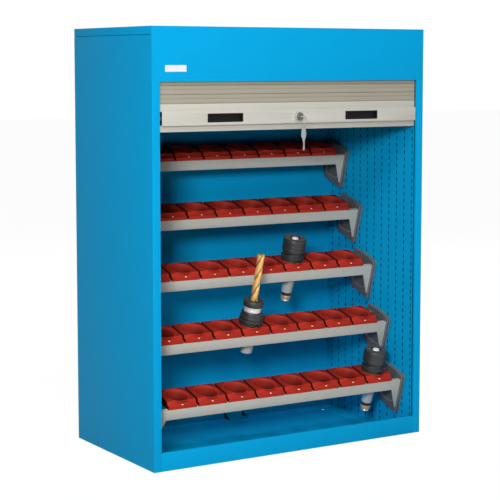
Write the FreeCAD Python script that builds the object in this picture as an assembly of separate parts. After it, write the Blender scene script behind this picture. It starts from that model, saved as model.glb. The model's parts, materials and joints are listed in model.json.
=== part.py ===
"""Roll front tool cabinet: a steel casing with a roll shutter and five sloping tool racks.

Millimetres. +Z is up, -Y is the front, X is the width. The origin is on the floor, in the
middle of the casing. Each function makes one piece, and the last lines write one STEP each.
"""
import FreeCAD, Part
import math
import os

Vec = FreeCAD.Vector

# ---- casing ----
cabinet_width = 1090.0
cabinet_depth = 570.0
cabinet_height = 1450.0
sheet = 1.5                     # steel sheet of the casing
post_width = 28.0               # front face of each corner post
post_lip = 9.0                  # lip of the post, back towards the shutter guide
post_bend = 2.0                 # outside radius of the front corners
fascia_height = 178.0
fascia_flange = 9.0             # depth of the fascia's lower edge
fascia_hem = 13.0
fascia_return = 21.5            # side and top returns of the fascia
skirt_height = 28.0             # how far the lid reaches down the sides
lid_hem = 12.0
lid_hem_setback = 182.0         # hems start behind the shutter header
side_top_flange = 14.0
side_back_flange = 20.0
back_inset = 16.0               # inside face of the back panel, from the rear
panel_clearance = 1.5           # below the lid
sill_height = 60.0
sill_flange = 15.0
sill_hem = 12.0
anchor_spacing_x = 902.0
anchor_spacing_y = 392.0
anchor_hole_radius = 5.5
plate_width = 78.0              # bare name plate
plate_height = 21.0
plate_thickness = 0.8
plate_side_gap = 48.0
plate_rise = 32.0               # above the lower edge of the fascia

# ---- perforated side panels ----
panel_side_gap = 25.0           # side sheet to the inside face of the panel
panel_setback = 20.5            # front of the casing to the panel's front flange
slot_pitch_y = 45.0
slot_pitch_z = 25.0
slot_width = 6.0
slot_height = 15.0
slot_edge = 8.5                 # front flange to the first column of slots

# ---- floor bracket ----
foot_width = 80.0
foot_depth = 45.0
foot_height = 22.5
foot_centre_x = 90.0
foot_sheet = 2.0

# ---- shutter guides and bolts ----
guide_wall = 1.2
guide_gap = 1.0                 # panel's inside face to the liner's mouth
guide_width = 15.0
bolt_width = 10.0
bolt_thickness = 4.0
bolt_travel = 17.0
bolt_reach = 11.0               # how far the locked bolt reaches into the guide
strike_depth = 8.8
strike_height = 24.0
strike_slope = 8.0
strike_clearance = 0.5

# ---- shutter ----
slat_pitch = 30.0
slat_thickness = 8.5
slat_setback = 11.5             # front of the casing to the front of the slats
slat_side_gap = 5.0             # slat end to the perforated panel
slat_joint = 0.5                # gap between two slats at their hinge line
slat_groove = 1.3
slat_groove_half = 2.5
slat_shoulder = 2.2              # joint line to the full thickness, on the front
slat_back_bevel = 4.0
slats_shown = 72.0              # height of slats below the fascia when open
straight_slats = 5
feeding_slats_count = 14
wound_slats_count = 22
glide_thickness = 8.1
glide_height = 22.0
glide_reach = 4.0               # glide into the guide
rail_height = 90.0
rail_depth = 11.0
rail_bulge = 13.9               # middle of the rail stands in front of its edges
rail_lower_band = 20.0
rail_upper_band = 23.0
rail_wall = 2.0
rail_bulge_end = 10.0           # bulge stops short of the rail's end
rail_stop_gap = 0.5             # closed rail to the sill
cap_length = 6.0
fit = 0.3                       # clearance of a piece that slides or drops in

# ---- handles ----
handle_offset = 274.0
handle_width = 136.0
handle_height = 29.0
handle_rim = 2.0
handle_rim_thickness = 1.0
handle_wall = 1.5
handle_back_gap = 0.7           # back of the cup to the bolts

# ---- lock and keys ----
lock_x = 8.0
rosette_radius = 14.0
rosette_height = 18.6
rosette_chamfer = 1.5
lock_barrel_radius = 9.4
plug_radius = 5.5
shaft_clearance = 0.05
plug_stand = 0.5                # plug in front of its rosette
cam_thickness = 3.0
cam_width = 9.0
cam_hub_radius = 8.0
cam_end_wall = 1.5
lock_sides = 16
cam_gap = 0.5
pin_radius = 2.0
pin_sides = 10
foot_side_wall = 3.0
foot_rise = 3.5
foot_heel = 4.0                 # foot beyond its outer wall, at its lower end
foot_gap = 0.2                  # between the feet of the two bolts
arm_start = 0.5                 # bolt arm, from the outer wall of the foot
arm_end = 10.0
bar_start = 6.0
pin_lead = 0.2225               # share of the travel that the pin runs ahead of the bolt
key_thickness = 2.2
key_stand = 21.5                # bow of the key in front of the plug
key_bow_half = 9.7
key_bow_corner = 4.0
key_bow_back = 8.0              # bow to the plug
key_shoulder = 1.0              # shoulder to the plug
key_web = 2.4                   # bar at the front of the bow that the ring hangs on
key_slot_length = 12.5
key_slot_half = 3.0
key_blade_length = 19.0
blade_half = 3.4
keyway_gap = 0.2
spare_hole_radius = 2.5
spare_hole_sides = 12
# Half of the hanging key: across, and along from the hole in its bow.
spare_half = [(4.5, 4.5), (6, 0), (9.7, -22), (9, -28), (4, -42), (3.5, -46), (3.4, -76)]
ring_wire = 1.8
ring_radius = 19.7
ring_sides = 20
ring_rise = 2.73                # wire above the middle of the key's web

# ---- coil ----
coil_radius = 72.0              # outermost turn, to the middle of the slat
coil_step = 11.0                # one turn to the next
coil_drop = 84.0                # lid to the middle of the coil
tube_radius = 30.4
tube_wall = 2.0
axle_radius = 10.0
axle_overhang = 1.0
disc_thickness = 12.0
disc_sides = 16
spring_radius = 20.0
spring_wire = 3.0
spring_length = 320.0
spring_sides = 16
header_side_sheet = 2.0
header_setback = 24.0           # front of the casing to the header's side plates
header_depth = 156.0
header_top_gap = 10.0
cover_clearance = 0.3

# ---- tool racks ----
rack_count = 5
rack_rise = 200.0
rack_step_back = 90.0
rack_tilt = 16.0                # degrees
rack_front = 54.6               # front of the casing to the lowest rack's front edge
rack_height = 186.4             # floor to the lowest rack's front edge
rack_length = 997.4
rail_face = 36.0
rail_top_flange = 16.0
rail_bottom_flange = 9.0
rack_sheet = 1.5
gusset_width = 33.0
gusset_tip = 5.0
gusset_depth = 110.0
rear_rail_height = 24.0
rear_rail_flange = 12.0
bracket_sheet = 2.0
bracket_gap = 0.3
bracket_width = 14.0
bracket_outline = [(124, 22), (32, 22), (-4, 13), (-4, -130), (10, -130), (108, -123), (127, -60)]
bracket_flanged_count = 5       # corners of the outline that its flange runs past
window_start, window_end = 23.0, 105.0
window_top, window_foot = -50.0, -101.0
window_corner = 16.0
dish_depth = 8.0                # pressed panel that closes the window, from the inside face
hook_thickness = 3.0
hook_height = 9.0
hook_drop = 6.0
hook_cells = [(1, 6), (3, 7), (2, 3)]   # slots that the lowest rack hangs from

# ---- inserts ----
insert_count = 8
insert_pitch = 116.0
insert_width = 108.0
insert_depth = 106.0
insert_front = 2.0
insert_thickness = 23.0
insert_lip = 14.0
insert_lip_thickness = 12.0
insert_centre = 56.0
collar_wall = 4.5               # round the funnel, from its mouth to the foot of the sleeve
collar_height = 25.0
mouth_radius = 41.0
throat_radius = 29.5            # funnel at the foot of the sleeve
sleeve_depth = 12.0             # under the insert
collar_sides = 8
tool_sides = 16

# ---- tools ----
tool_gap = 0.3                  # flange above its collar
flange_radius = 42.5
flange_height = 17.0
flange_chamfer = 1.5
groove_radius = 37.0
neck_radius = 34.5
neck_height = 24.0
head_flare = 12.0               # height over which the neck widens into the head
head_radius = 42.0
chuck_height = 83.0
head_chamfer = 4.0
bore_radius = 13.0
bore_depth = 30.0
shank_radius = 28.5
shank_tip_radius = 19.0
shank_length = 127.0
collar_ring_radius = 17.5
collar_ring_length = 12.0
stud_radius = 17.8
stud_length = 21.0
stud_chamfer = 3.0
drill_shank_length = 110.0
drill_shank_tip = 21.5
drill_body_radius = 37.0
drill_body_height = 36.0
drill_body_chamfer = 4.0
silver_radius = 30.5
silver_top = 60.0
nut_radius = 35.5
nut_height = 30.0
nut_foot_chamfer = 3.0
nut_nose_chamfer = 8.0
drill_radius = 13.0
drill_length = 202.0
drill_point = 9.0
drill_turns = 1.6
drill_web = 1.5
drill_corners = 8
drill_sections = 18
drill_flute = 0.62              # flute depth as a share of the drill's radius
chuck_places = {"chuck_1": (2, 5), "chuck_2": (0, 7)}   # rack and insert, from 0
drill_place = (1, 3)

# ---- worked out from the sizes above ----
front = -cabinet_depth / 2
rear = cabinet_depth / 2
half_width = cabinet_width / 2
side_inner = half_width - sheet
post_inner = half_width - post_width
fascia_bottom = cabinet_height - fascia_height
side_top = cabinet_height - skirt_height
lid_under = cabinet_height - sheet
back_wall = rear - back_inset
panel_inner = half_width - panel_side_gap
panel_front = front + panel_setback
lip_end = front + post_lip
slat_front = front + slat_setback
slat_back = slat_front + slat_thickness
slat_middle = slat_front + slat_thickness / 2
slat_end = panel_inner - slat_side_gap
rail_bottom = fascia_bottom - slats_shown - rail_height
rail_top = rail_bottom + rail_height
rail_back = slat_front + rail_depth
bulge_front = slat_front - rail_bulge
bulge_bottom = rail_bottom + rail_lower_band
bulge_top = rail_top - rail_upper_band
bulge_end = slat_end - rail_bulge_end
chamber_front = bulge_front + rail_wall
chamber_back = rail_back - rail_wall
chamber_bottom = bulge_bottom + rail_wall
chamber_top = bulge_top - rail_wall
lock_z = (bulge_bottom + bulge_top) / 2
shutter_travel = rail_bottom - sill_height - rail_stop_gap
guide_mouth = panel_inner + guide_gap
guide_base = guide_mouth + guide_width
guide_floor = guide_base - guide_wall
bolt_tip = panel_inner + bolt_reach - bolt_travel
bolt_back = slat_middle + bolt_thickness / 2 - fit
bolt_front = bolt_back - bolt_thickness
coil_y = slat_middle + coil_radius
coil_z = cabinet_height - coil_drop
header_front = front + header_setback
header_back = header_front + header_depth
along_x = FreeCAD.Rotation(Vec(0, 0, 1), Vec(1, 0, 0))
along_y = FreeCAD.Rotation(Vec(0, 0, 1), Vec(0, 1, 0))
near = 0.1                      # how close an edge is to the place that it is looked for


# ---- shaping helpers ----
def place(plane, a, b, height):
    """Point (a, b) of a drawing plane, at a height along the plane's normal."""
    return {"XY": Vec(a, b, height), "YZ": Vec(height, a, b), "XZ": Vec(a, height, b)}[plane]


def extruded(outline, plane, start, end):
    """Solid between two heights over a closed outline drawn in a plane."""
    corners = [place(plane, a, b, start) for a, b in outline]
    face = Part.Face(Part.makePolygon(corners + corners[:1]))
    return face.extrude(place(plane, 0, 0, end - start))


def block(x1, x2, y1, y2, z1, z2):
    """Box between two corners, given in any order."""
    low = Vec(min(x1, x2), min(y1, y2), min(z1, z2))
    return Part.makeBox(abs(x2 - x1), abs(y2 - y1), abs(z2 - z1), low)


def folded(path, thickness):
    """Outline of a sheet bent along a path, with its thickness to the left of the path."""
    inner = []
    for i, (a, b) in enumerate(path):
        normals = []
        for j in (i - 1, i):
            if 0 <= j < len(path) - 1:
                da = path[j + 1][0] - path[j][0]
                db = path[j + 1][1] - path[j][1]
                length = math.hypot(da, db)
                normals.append((-db / length, da / length))
        na = sum(n[0] for n in normals) / len(normals)
        nb = sum(n[1] for n in normals) / len(normals)
        scale = thickness / (na * na + nb * nb)
        inner.append((a + na * scale, b + nb * scale))
    return list(path) + inner[::-1]


def facetted(profile, sides):
    """Solid of flat faces round the Z axis from a closed (radius, height) profile."""
    faces = []
    for i, (r1, h1) in enumerate(profile):
        r2, h2 = profile[(i + 1) % len(profile)]
        if r1 == 0 and r2 == 0:
            continue
        for j in range(sides):
            corners = []
            for r, h, step in ((r1, h1, j), (r1, h1, j + 1), (r2, h2, j + 1), (r2, h2, j)):
                angle = 2 * math.pi * (step % sides) / sides
                corner = Vec(r * math.cos(angle), r * math.sin(angle), h)
                if not corners or min((corner - c).Length for c in corners) > 1e-6:
                    corners.append(corner)
            faces.append(Part.Face(Part.makePolygon(corners + corners[:1])))
    solid = Part.makeSolid(Part.makeShell(faces))
    return solid if solid.Volume > 0 else solid.reversed()


def fused(shapes):
    """One solid from touching or overlapping shapes."""
    return shapes[0].multiFuse(shapes[1:]).removeSplitter() if len(shapes) > 1 else shapes[0]


def mirrored(shape):
    """The same shape on the other side of the casing."""
    return shape.mirror(Vec(0, 0, 0), Vec(1, 0, 0))


def on_both_sides(right):
    """A right-hand shape and its mirror image, as separate solids."""
    return Part.makeCompound([mirrored(right), right])


def softened(shape, radius, test):
    """Fillet of the edges whose middle passes a test."""
    edges = [e for e in shape.Edges if test(e.CenterOfMass)]
    return shape.makeFillet(radius, edges)


# ---- casing ----
def side_panel():
    """Right side sheet with its corner post, rear return and top flange."""
    path = [(post_inner, lip_end), (post_inner, front), (half_width, front),
            (half_width, rear), (half_width - side_back_flange, rear)]
    panel = extruded(folded(path, sheet), "XY", 0, side_top)
    panel = softened(panel, post_bend, lambda c: c.x > half_width - near and c.y < front + near
                     and abs(c.z - side_top / 2) < near)
    flange = block(side_inner - side_top_flange, side_inner, front + lid_hem_setback,
                   back_wall - sheet, side_top - sheet, side_top)
    behind_fascia = block(post_inner - sheet, side_inner, front - sheet, header_front,
                          fascia_bottom, side_top - sheet)
    above = block(post_inner - sheet, side_inner, front - sheet, front + lid_hem_setback - sheet,
                  fascia_bottom, side_top)
    corner = block(post_inner, half_width, front - sheet, front + sheet, fascia_bottom, side_top)
    return fused([panel.cut(behind_fascia).cut(above).cut(corner), flange])


def lid():
    """Top sheet with skirts at the sides and the rear, hemmed onto the side sheets."""
    right, top, low = half_width, cabinet_height, side_top
    path = [(right - lid_hem, low), (right, low), (right, top),
            (-right, top), (-right, low), (-right + lid_hem, low)]
    shell = extruded(folded(path, sheet), "XZ", front + sheet, rear)
    hem_front = block(-side_inner, side_inner, front, front + lid_hem_setback, low, low + sheet)
    hem_back = block(-side_inner, side_inner, back_wall - sheet, rear - sheet, low, low + sheet)
    skirt = block(-half_width, half_width, rear - sheet, rear, low, top)
    return fused([shell.cut(hem_front).cut(hem_back), skirt])


def fascia():
    """Front cover of the shutter header, over the full width."""
    path = [(front, cabinet_height), (front, fascia_bottom),
            (front + fascia_flange, fascia_bottom), (front + fascia_flange, fascia_bottom + fascia_hem)]
    shell = extruded(folded(path, sheet), "YZ", -half_width, half_width)
    shell = softened(shell, post_bend, lambda c: abs(c.x) > half_width - near and c.y < front + near
                     and abs(c.z - cabinet_height + fascia_height / 2) < near)
    hem_ends = [block(s * side_inner, s * half_width, front + sheet, lip_end + sheet,
                      fascia_bottom, cabinet_height) for s in (-1, 1)]
    back = front + fascia_return
    top = block(-side_inner, side_inner, front + sheet, back, lid_under - sheet, lid_under)
    sides = [block(s * (side_inner - sheet), s * side_inner, front + sheet, back,
                   fascia_bottom, lid_under) for s in (-1, 1)]
    return fused([shell.cut(hem_ends[0]).cut(hem_ends[1]), top] + sides)


def floor_tray():
    """Bottom sheet with the sill folded up at its front and four anchor holes."""
    path = [(front + sill_flange, sill_height - sill_hem), (front + sill_flange, sill_height),
            (front, sill_height), (front, 0), (rear - sheet, 0)]
    tray = extruded(folded(path, sheet), "YZ", -post_inner, post_inner)
    wings = [block(s * post_inner, s * side_inner, header_front, rear - sheet, 0, sheet)
             for s in (-1, 1)]
    tray = fused([tray] + wings)
    for sx in (-1, 1):
        for sy in (-1, 1):
            centre = Vec(sx * anchor_spacing_x / 2, sy * anchor_spacing_y / 2, 0)
            tray = tray.cut(Part.makeCylinder(anchor_hole_radius, sheet, centre))
    return tray


def back_panel():
    """Rear wall, set in between the side sheets on its own side flanges."""
    path = [(-side_inner, rear - sheet), (-side_inner, back_wall),
            (side_inner, back_wall), (side_inner, rear - sheet)]
    return extruded(folded(path, sheet), "XY", sheet, lid_under - panel_clearance)


def slot_centre(column, row):
    """Middle of one slot of the perforated panels, in Y and Z."""
    return panel_front + slot_edge + column * slot_pitch_y, (row + 0.5) * slot_pitch_z


def rack_slots(rack):
    """The slots that one rack's brackets hang from, as (column, row)."""
    columns_back = round(rack_step_back / slot_pitch_y)
    rows_up = round(rack_rise / slot_pitch_z)
    return [(column + rack * columns_back, row + rack * rows_up) for column, row in hook_cells]


def perforated_panel():
    """Right inner panel, folded outwards at its edges, with the slots that the racks use."""
    path = [(side_inner, back_wall), (panel_inner, back_wall),
            (panel_inner, panel_front), (side_inner, panel_front)]
    panel = extruded(folded(path, sheet), "XY", sheet, fascia_bottom)
    top = block(panel_inner + sheet, side_inner, panel_front + sheet, back_wall - sheet,
                fascia_bottom - sheet, fascia_bottom)
    slots = []
    for rack in range(rack_count):
        for column, row in rack_slots(rack):
            y, z = slot_centre(column, row)
            slots.append(block(panel_inner, panel_inner + sheet, y - slot_width / 2,
                               y + slot_width / 2, z - slot_height / 2, z + slot_height / 2))
    return fused([panel, top]).cut(Part.makeCompound(slots))


def name_plate():
    """Bare plate at the left of the fascia."""
    left = -half_width + plate_side_gap
    low = fascia_bottom + plate_rise
    return block(left, left + plate_width, front - plate_thickness, front, low, low + plate_height)


def floor_bracket():
    """Angle with two cheeks that ties the floor to the rear wall."""
    left, right = foot_centre_x - foot_width / 2, foot_centre_x + foot_width / 2
    base = block(left, right, back_wall - foot_depth, back_wall, sheet, sheet + foot_sheet)
    upright = block(left, right, back_wall - foot_sheet, back_wall, sheet, sheet + foot_height)
    cheek = [(back_wall - foot_depth, sheet), (back_wall, sheet), (back_wall, sheet + foot_height)]
    cheeks = [extruded(cheek, "YZ", x, x + foot_sheet) for x in (left, right - foot_sheet)]
    return fused([base, upright] + cheeks)


# ---- header ----
def header_plate():
    """Right side plate of the header, with the hole that carries the axle."""
    path = [(side_inner, header_back), (panel_inner, header_back),
            (panel_inner, header_front), (side_inner - 2 * sheet, header_front)]
    plate = extruded(folded(path, header_side_sheet), "XY", fascia_bottom,
                     lid_under - header_top_gap)
    hole = Part.makeCylinder(axle_radius + shaft_clearance, header_side_sheet * 2,
                             Vec(panel_inner - header_side_sheet / 2, coil_y, coil_z), Vec(1, 0, 0))
    return plate.cut(hole)


def header_cover():
    """Inner cover under and behind the coil."""
    end = panel_inner - cover_clearance
    bottom = fascia_bottom + sheet
    path = [(header_front + sheet, bottom + fascia_hem), (header_front + sheet, bottom - sheet),
            (header_back - header_side_sheet, bottom - sheet),
            (header_back - header_side_sheet, lid_under - panel_clearance)]
    return extruded(folded(path, sheet), "YZ", -end, end)


def axle():
    """Fixed axle of the shutter drum."""
    end = panel_inner + header_side_sheet + axle_overhang
    return Part.makeCylinder(axle_radius, 2 * end, Vec(-end, coil_y, coil_z), Vec(1, 0, 0))


def drum_tube():
    """Tube that the shutter winds onto."""
    outer = Part.makeCylinder(tube_radius, 2 * slat_end, Vec(-slat_end, coil_y, coil_z), Vec(1, 0, 0))
    bore = Part.makeCylinder(tube_radius - tube_wall, 2 * slat_end,
                             Vec(-slat_end, coil_y, coil_z), Vec(1, 0, 0))
    return outer.cut(bore)


def drum_disc():
    """Right end disc of the drum, running on the axle."""
    radius = tube_radius - tube_wall
    base = Vec(slat_end - disc_thickness, coil_y, coil_z)
    disc = facetted([(0, 0), (radius, 0), (radius, disc_thickness), (0, disc_thickness)], disc_sides)
    disc.Placement = FreeCAD.Placement(base, along_x)
    return disc.cut(Part.makeCylinder(axle_radius + shaft_clearance, disc_thickness, base, Vec(1, 0, 0)))


def counterbalance_spring():
    """Close-wound torsion spring inside the tube, hooked into the right end disc."""
    end = slat_end - disc_thickness
    profile = [(spring_radius - spring_wire, end - spring_length), (spring_radius, end - spring_length),
               (spring_radius, end), (spring_radius - spring_wire, end)]
    spring = facetted(profile, spring_sides)
    spring.Placement = FreeCAD.Placement(Vec(0, coil_y, coil_z), along_x)
    return spring


# ---- shutter curtain ----
def slat_outline(grooved):
    """Section of one slat: along the curtain from its lower joint, and outwards."""
    half = slat_thickness / 2
    middle = slat_pitch / 2
    groove = [(middle - slat_groove_half, half), (middle, half - slat_groove),
              (middle + slat_groove_half, half)]
    return ([(slat_joint / 2, 0), (slat_shoulder, half)] + (groove if grooved else [])
            + [(slat_pitch - slat_shoulder, half), (slat_pitch - slat_joint / 2, 0),
               (slat_pitch - slat_back_bevel, -half), (slat_back_bevel, -half)])


def slat(start, end, grooved):
    """Slat between two joints of the curtain, given in Y and Z."""
    dy, dz = end[0] - start[0], end[1] - start[1]
    length = math.hypot(dy, dz)
    ay, az = dy / length, dz / length
    shift = (length - slat_pitch) / 2
    outline = []
    for along, out in slat_outline(grooved):
        along += shift
        outline.append((start[0] + ay * along - az * out, start[1] + az * along + ay * out))
    return extruded(outline, "YZ", -slat_end, slat_end)


def curtain_joint(number):
    """Y and Z of a joint, counted up the curtain from the rail and into the coil."""
    length = number * slat_pitch
    straight = coil_z - rail_top
    if length <= straight:
        return slat_middle, rail_top + length
    wound = length - straight
    curve = coil_step / (4 * math.pi)
    turn = (coil_radius - math.sqrt(coil_radius ** 2 - 4 * curve * wound)) / (2 * curve)
    radius = coil_radius - coil_step * turn / (2 * math.pi)
    return coil_y - radius * math.cos(turn), coil_z + radius * math.sin(turn)


def slats(first, count, grooved):
    """A run of slats as separate solids; the ones behind the fascia are made plain."""
    run = range(first, first + count)
    return Part.makeCompound([slat(curtain_joint(i), curtain_joint(i + 1), grooved) for i in run])


def slat_glides():
    """Plastic glides on the ends of the rail and of the straight slats."""
    rail_rows = [rail_bottom + glide_height, rail_top - glide_height]
    slat_rows = [rail_top + (i + 0.5) * slat_pitch for i in range(straight_slats)]
    middle = (lip_end + guide_wall + panel_front - guide_wall) / 2
    glides = []
    for z in rail_rows + slat_rows:
        glides.append(block(slat_end, guide_mouth + glide_reach, middle - glide_thickness / 2,
                            middle + glide_thickness / 2, z - glide_height / 2, z + glide_height / 2))
    return Part.makeCompound([mirrored(g) for g in glides] + glides)


def chamber(y1, y2, z1, z2):
    """Space inside the rail, through its whole length."""
    return block(-slat_end, slat_end, y1, y2, z1, z2)


def bottom_rail():
    """Hollow bottom rail with a bulged middle, cut out for the handles and the lock."""
    outline = [(rail_back, rail_bottom), (slat_front, rail_bottom), (slat_front, bulge_bottom),
               (bulge_front, bulge_bottom), (bulge_front, bulge_top), (slat_front, bulge_top),
               (slat_front, rail_top), (rail_back, rail_top)]
    rail = extruded(outline, "YZ", -slat_end, slat_end)
    rail = rail.cut(chamber(chamber_front, chamber_back, chamber_bottom, chamber_top))
    for low, high in ((rail_bottom, bulge_bottom), (bulge_top, rail_top)):
        rail = rail.cut(chamber(slat_front + rail_wall, chamber_back, low + rail_wall, high - rail_wall))
    for s in (-1, 1):
        rail = rail.cut(block(s * bulge_end, s * slat_end, bulge_front, slat_front,
                              bulge_bottom, bulge_top))
        rail = rail.cut(handle_body(s * handle_offset, fit, bulge_front, chamber_front))
    hole = Part.makeCylinder(lock_barrel_radius + fit, rail_wall, Vec(lock_x, bulge_front, lock_z),
                             Vec(0, 1, 0))
    return rail.cut(hole)


def handle_body(x, grow, y1, y2):
    """Block of a handle cup's size, grown all round."""
    half_x = handle_width / 2 - handle_rim + grow
    half_z = handle_height / 2 - handle_rim + grow
    return block(x - half_x, x + half_x, y1, y2, lock_z - half_z, lock_z + half_z)


def handle_cup():
    """Recessed grip cup at the right, with a rim on the rail's face."""
    back = bolt_front - handle_back_gap
    rim = block(handle_offset - handle_width / 2, handle_offset + handle_width / 2,
                bulge_front - handle_rim_thickness, bulge_front,
                lock_z - handle_height / 2, lock_z + handle_height / 2)
    body = handle_body(handle_offset, 0, bulge_front, back)
    hollow = handle_body(handle_offset, -handle_wall, bulge_front - handle_rim_thickness,
                         back - handle_wall)
    return fused([rim, body]).cut(hollow)


def bolt_window(grow):
    """Section of the bolt at the rail's end, in Y and Z, grown all round."""
    return (bolt_front - grow, bolt_back + grow, lock_z - bolt_width / 2 - grow,
            lock_z + bolt_width / 2 + grow)


def rail_cap():
    """Right end plug of the rail's bulge, with the bolt's slot."""
    y1, y2, z1, z2 = bolt_window(fit)
    plug = block(bulge_end - cap_length, bulge_end, chamber_front, chamber_back,
                 chamber_bottom, chamber_top)
    return plug.cut(block(bulge_end - cap_length, bulge_end, y1, y2, z1, z2))


# ---- lock ----
cam_back = bolt_front - cam_gap
cam_front = cam_back - cam_thickness
plug_front = bulge_front - rosette_height - plug_stand
key_front = plug_front - key_stand
web_y = key_front + key_web / 2


def lock_housing():
    """Lock barrel with its rosette, running through the rail's face."""
    bore = plug_radius + shaft_clearance
    back = cam_front - cam_gap
    front_face = bulge_front - rosette_height
    profile = [(0, front_face), (rosette_radius - rosette_chamfer, front_face),
               (rosette_radius, front_face + rosette_chamfer), (rosette_radius, bulge_front),
               (lock_barrel_radius, bulge_front), (lock_barrel_radius, back), (0, back)]
    housing = facetted(profile, lock_sides)
    housing.Placement = FreeCAD.Placement(Vec(lock_x, 0, lock_z), along_y)
    return housing.cut(Part.makeCylinder(bore, back - front_face, Vec(lock_x, front_face, lock_z),
                                         Vec(0, 1, 0)))


def lock_plug():
    """Turning plug with its keyway."""
    plug = Part.makeCylinder(plug_radius, cam_back - plug_front, Vec(lock_x, plug_front, lock_z),
                             Vec(0, 1, 0))
    wide = blade_half + keyway_gap
    high = key_thickness / 2 + keyway_gap
    keyway = block(lock_x - wide, lock_x + wide, plug_front,
                   plug_front + key_blade_length + fit, lock_z - high, lock_z + high)
    return plug.cut(keyway)


def cam_pin(height, length):
    """Pin that stands back from the cam plate, above or below the lock's axis."""
    pin = facetted([(0, cam_back), (pin_radius, cam_back), (pin_radius, cam_back + length),
                    (0, cam_back + length)], pin_sides)
    pin.Placement = FreeCAD.Placement(Vec(lock_x, 0, lock_z + height), along_y)
    return pin


def lock_cam():
    """Cam plate on the plug's end, with a pin for each bolt."""
    reach = bolt_travel + pin_radius + cam_end_wall
    plate = block(lock_x - cam_width / 2, lock_x + cam_width / 2, cam_front, cam_back,
                  lock_z - reach, lock_z + reach)
    hub = facetted([(0, cam_front), (cam_hub_radius, cam_front), (cam_hub_radius, cam_back),
                    (0, cam_back)], lock_sides)
    hub.Placement = FreeCAD.Placement(Vec(lock_x, 0, lock_z), along_y)
    bore = Part.makeCylinder(plug_radius, cam_thickness, Vec(lock_x, cam_front, lock_z), Vec(0, 1, 0))
    half_foot = bolt_thickness / 2
    upper = cam_pin(bolt_travel, cam_gap + half_foot - fit)
    lower = cam_pin(-bolt_travel, cam_gap + bolt_thickness - fit)
    return fused([fused([plate, hub]).cut(bore), upper, lower])


def bolt(side, y1, y2):
    """Bolt bar of one side (1 right, -1 left) with its forked foot between y1 and y2."""
    slot_in = pin_radius + fit
    slot_out = pin_radius + fit + pin_lead * bolt_travel
    wall_out = slot_out + foot_side_wall
    foot = [(-slot_in - foot_side_wall, -foot_rise - bolt_width / 2),
            (wall_out + foot_heel, -foot_rise - bolt_width / 2),
            (wall_out + foot_heel, bolt_travel + foot_rise),
            (slot_out, bolt_travel + foot_rise), (slot_out, -slot_in),
            (-slot_in, -slot_in), (-slot_in, bolt_travel + foot_rise),
            (-slot_in - foot_side_wall, bolt_travel + foot_rise)]
    outline = [(lock_x + side * x, lock_z + side * z) for x, z in foot]
    fork = extruded(outline, "XZ", y1, y2)
    low, high = lock_z - bolt_width / 2, lock_z + bolt_width / 2
    arm = block(lock_x + side * (wall_out + arm_start), lock_x + side * (wall_out + arm_end),
                y1, y2, low, high)
    bar = block(lock_x + side * (wall_out + bar_start), side * bolt_tip,
                bolt_front, bolt_back, low, high)
    return fused([fork, arm, bar])


def flat_key(half_outline):
    """Closed outline of a key from the half on its right, across and along."""
    return half_outline + [(-across, along) for across, along in half_outline[::-1]]


def key_in_lock():
    """Key pushed into the plug, its bow level, with a slot behind the front web."""
    low, high = lock_z - key_thickness / 2, lock_z + key_thickness / 2
    half = [(key_bow_half - key_bow_corner, key_front), (key_bow_half, key_front + key_bow_corner),
            (key_bow_half, plug_front - key_bow_back), (blade_half, plug_front - key_shoulder),
            (blade_half, plug_front + key_blade_length)]
    outline = [(lock_x + a, b) for a, b in flat_key(half)]
    slot_front = key_front + key_web
    slot = block(lock_x - key_slot_half, lock_x + key_slot_half, slot_front,
                 slot_front + key_slot_length, low, high)
    return extruded(outline, "XY", low, high).cut(slot)


def key_ring():
    """Split ring round the key's web, in the plane square to the rail."""
    half = ring_wire / 2
    profile = [(ring_radius - half, -half), (ring_radius + half, -half),
               (ring_radius + half, half), (ring_radius - half, half)]
    ring = facetted(profile, ring_sides)
    centre = Vec(lock_x, web_y, lock_z + ring_rise - ring_radius)
    ring.Placement = FreeCAD.Placement(centre, along_x)
    return ring


def spare_key():
    """Second key, hanging from the bottom of the ring."""
    wire_z = lock_z + ring_rise - 2 * ring_radius
    hole_z = wire_z - (spare_hole_radius - ring_wire / 2 - fit)
    low, high = web_y - key_thickness / 2, web_y + key_thickness / 2
    key = extruded([(lock_x + a, hole_z + b) for a, b in flat_key(spare_half)], "XZ", low, high)
    hole = facetted([(0, low), (spare_hole_radius, low), (spare_hole_radius, high), (0, high)],
                    spare_hole_sides)
    hole.Placement = FreeCAD.Placement(Vec(lock_x, 0, hole_z), along_y)
    return key.cut(hole)


# ---- guides ----
def guide_liner():
    """Right plastic channel that the shutter's glides run in."""
    path = [(guide_mouth, lip_end), (guide_base, lip_end),
            (guide_base, panel_front), (guide_mouth, panel_front)]
    return extruded(folded(path, guide_wall), "XY", sheet, fascia_bottom + fascia_hem)


def bolt_strike():
    """Right strike in the guide, just above the locked bolt of the closed shutter."""
    low = lock_z - shutter_travel + bolt_width / 2 + strike_clearance
    tip = guide_floor - strike_depth
    outline = [(guide_floor, low), (tip, low), (tip, low + strike_height - strike_slope),
               (guide_floor, low + strike_height)]
    return extruded(outline, "XZ", lip_end + guide_wall + fit, panel_front - guide_wall - fit)


# ---- racks ----
def rack_frame(number):
    """Placement of a rack: X across, local Y up the slope, local Z square to it."""
    base = Vec(0, front + rack_front + number * rack_step_back, rack_height + number * rack_rise)
    return FreeCAD.Placement(base, FreeCAD.Rotation(Vec(1, 0, 0), rack_tilt))


def on_rack(shape, number):
    """The shape, moved from the rack's own frame into the casing."""
    shape.Placement = rack_frame(number).multiply(shape.Placement)
    return shape


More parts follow.
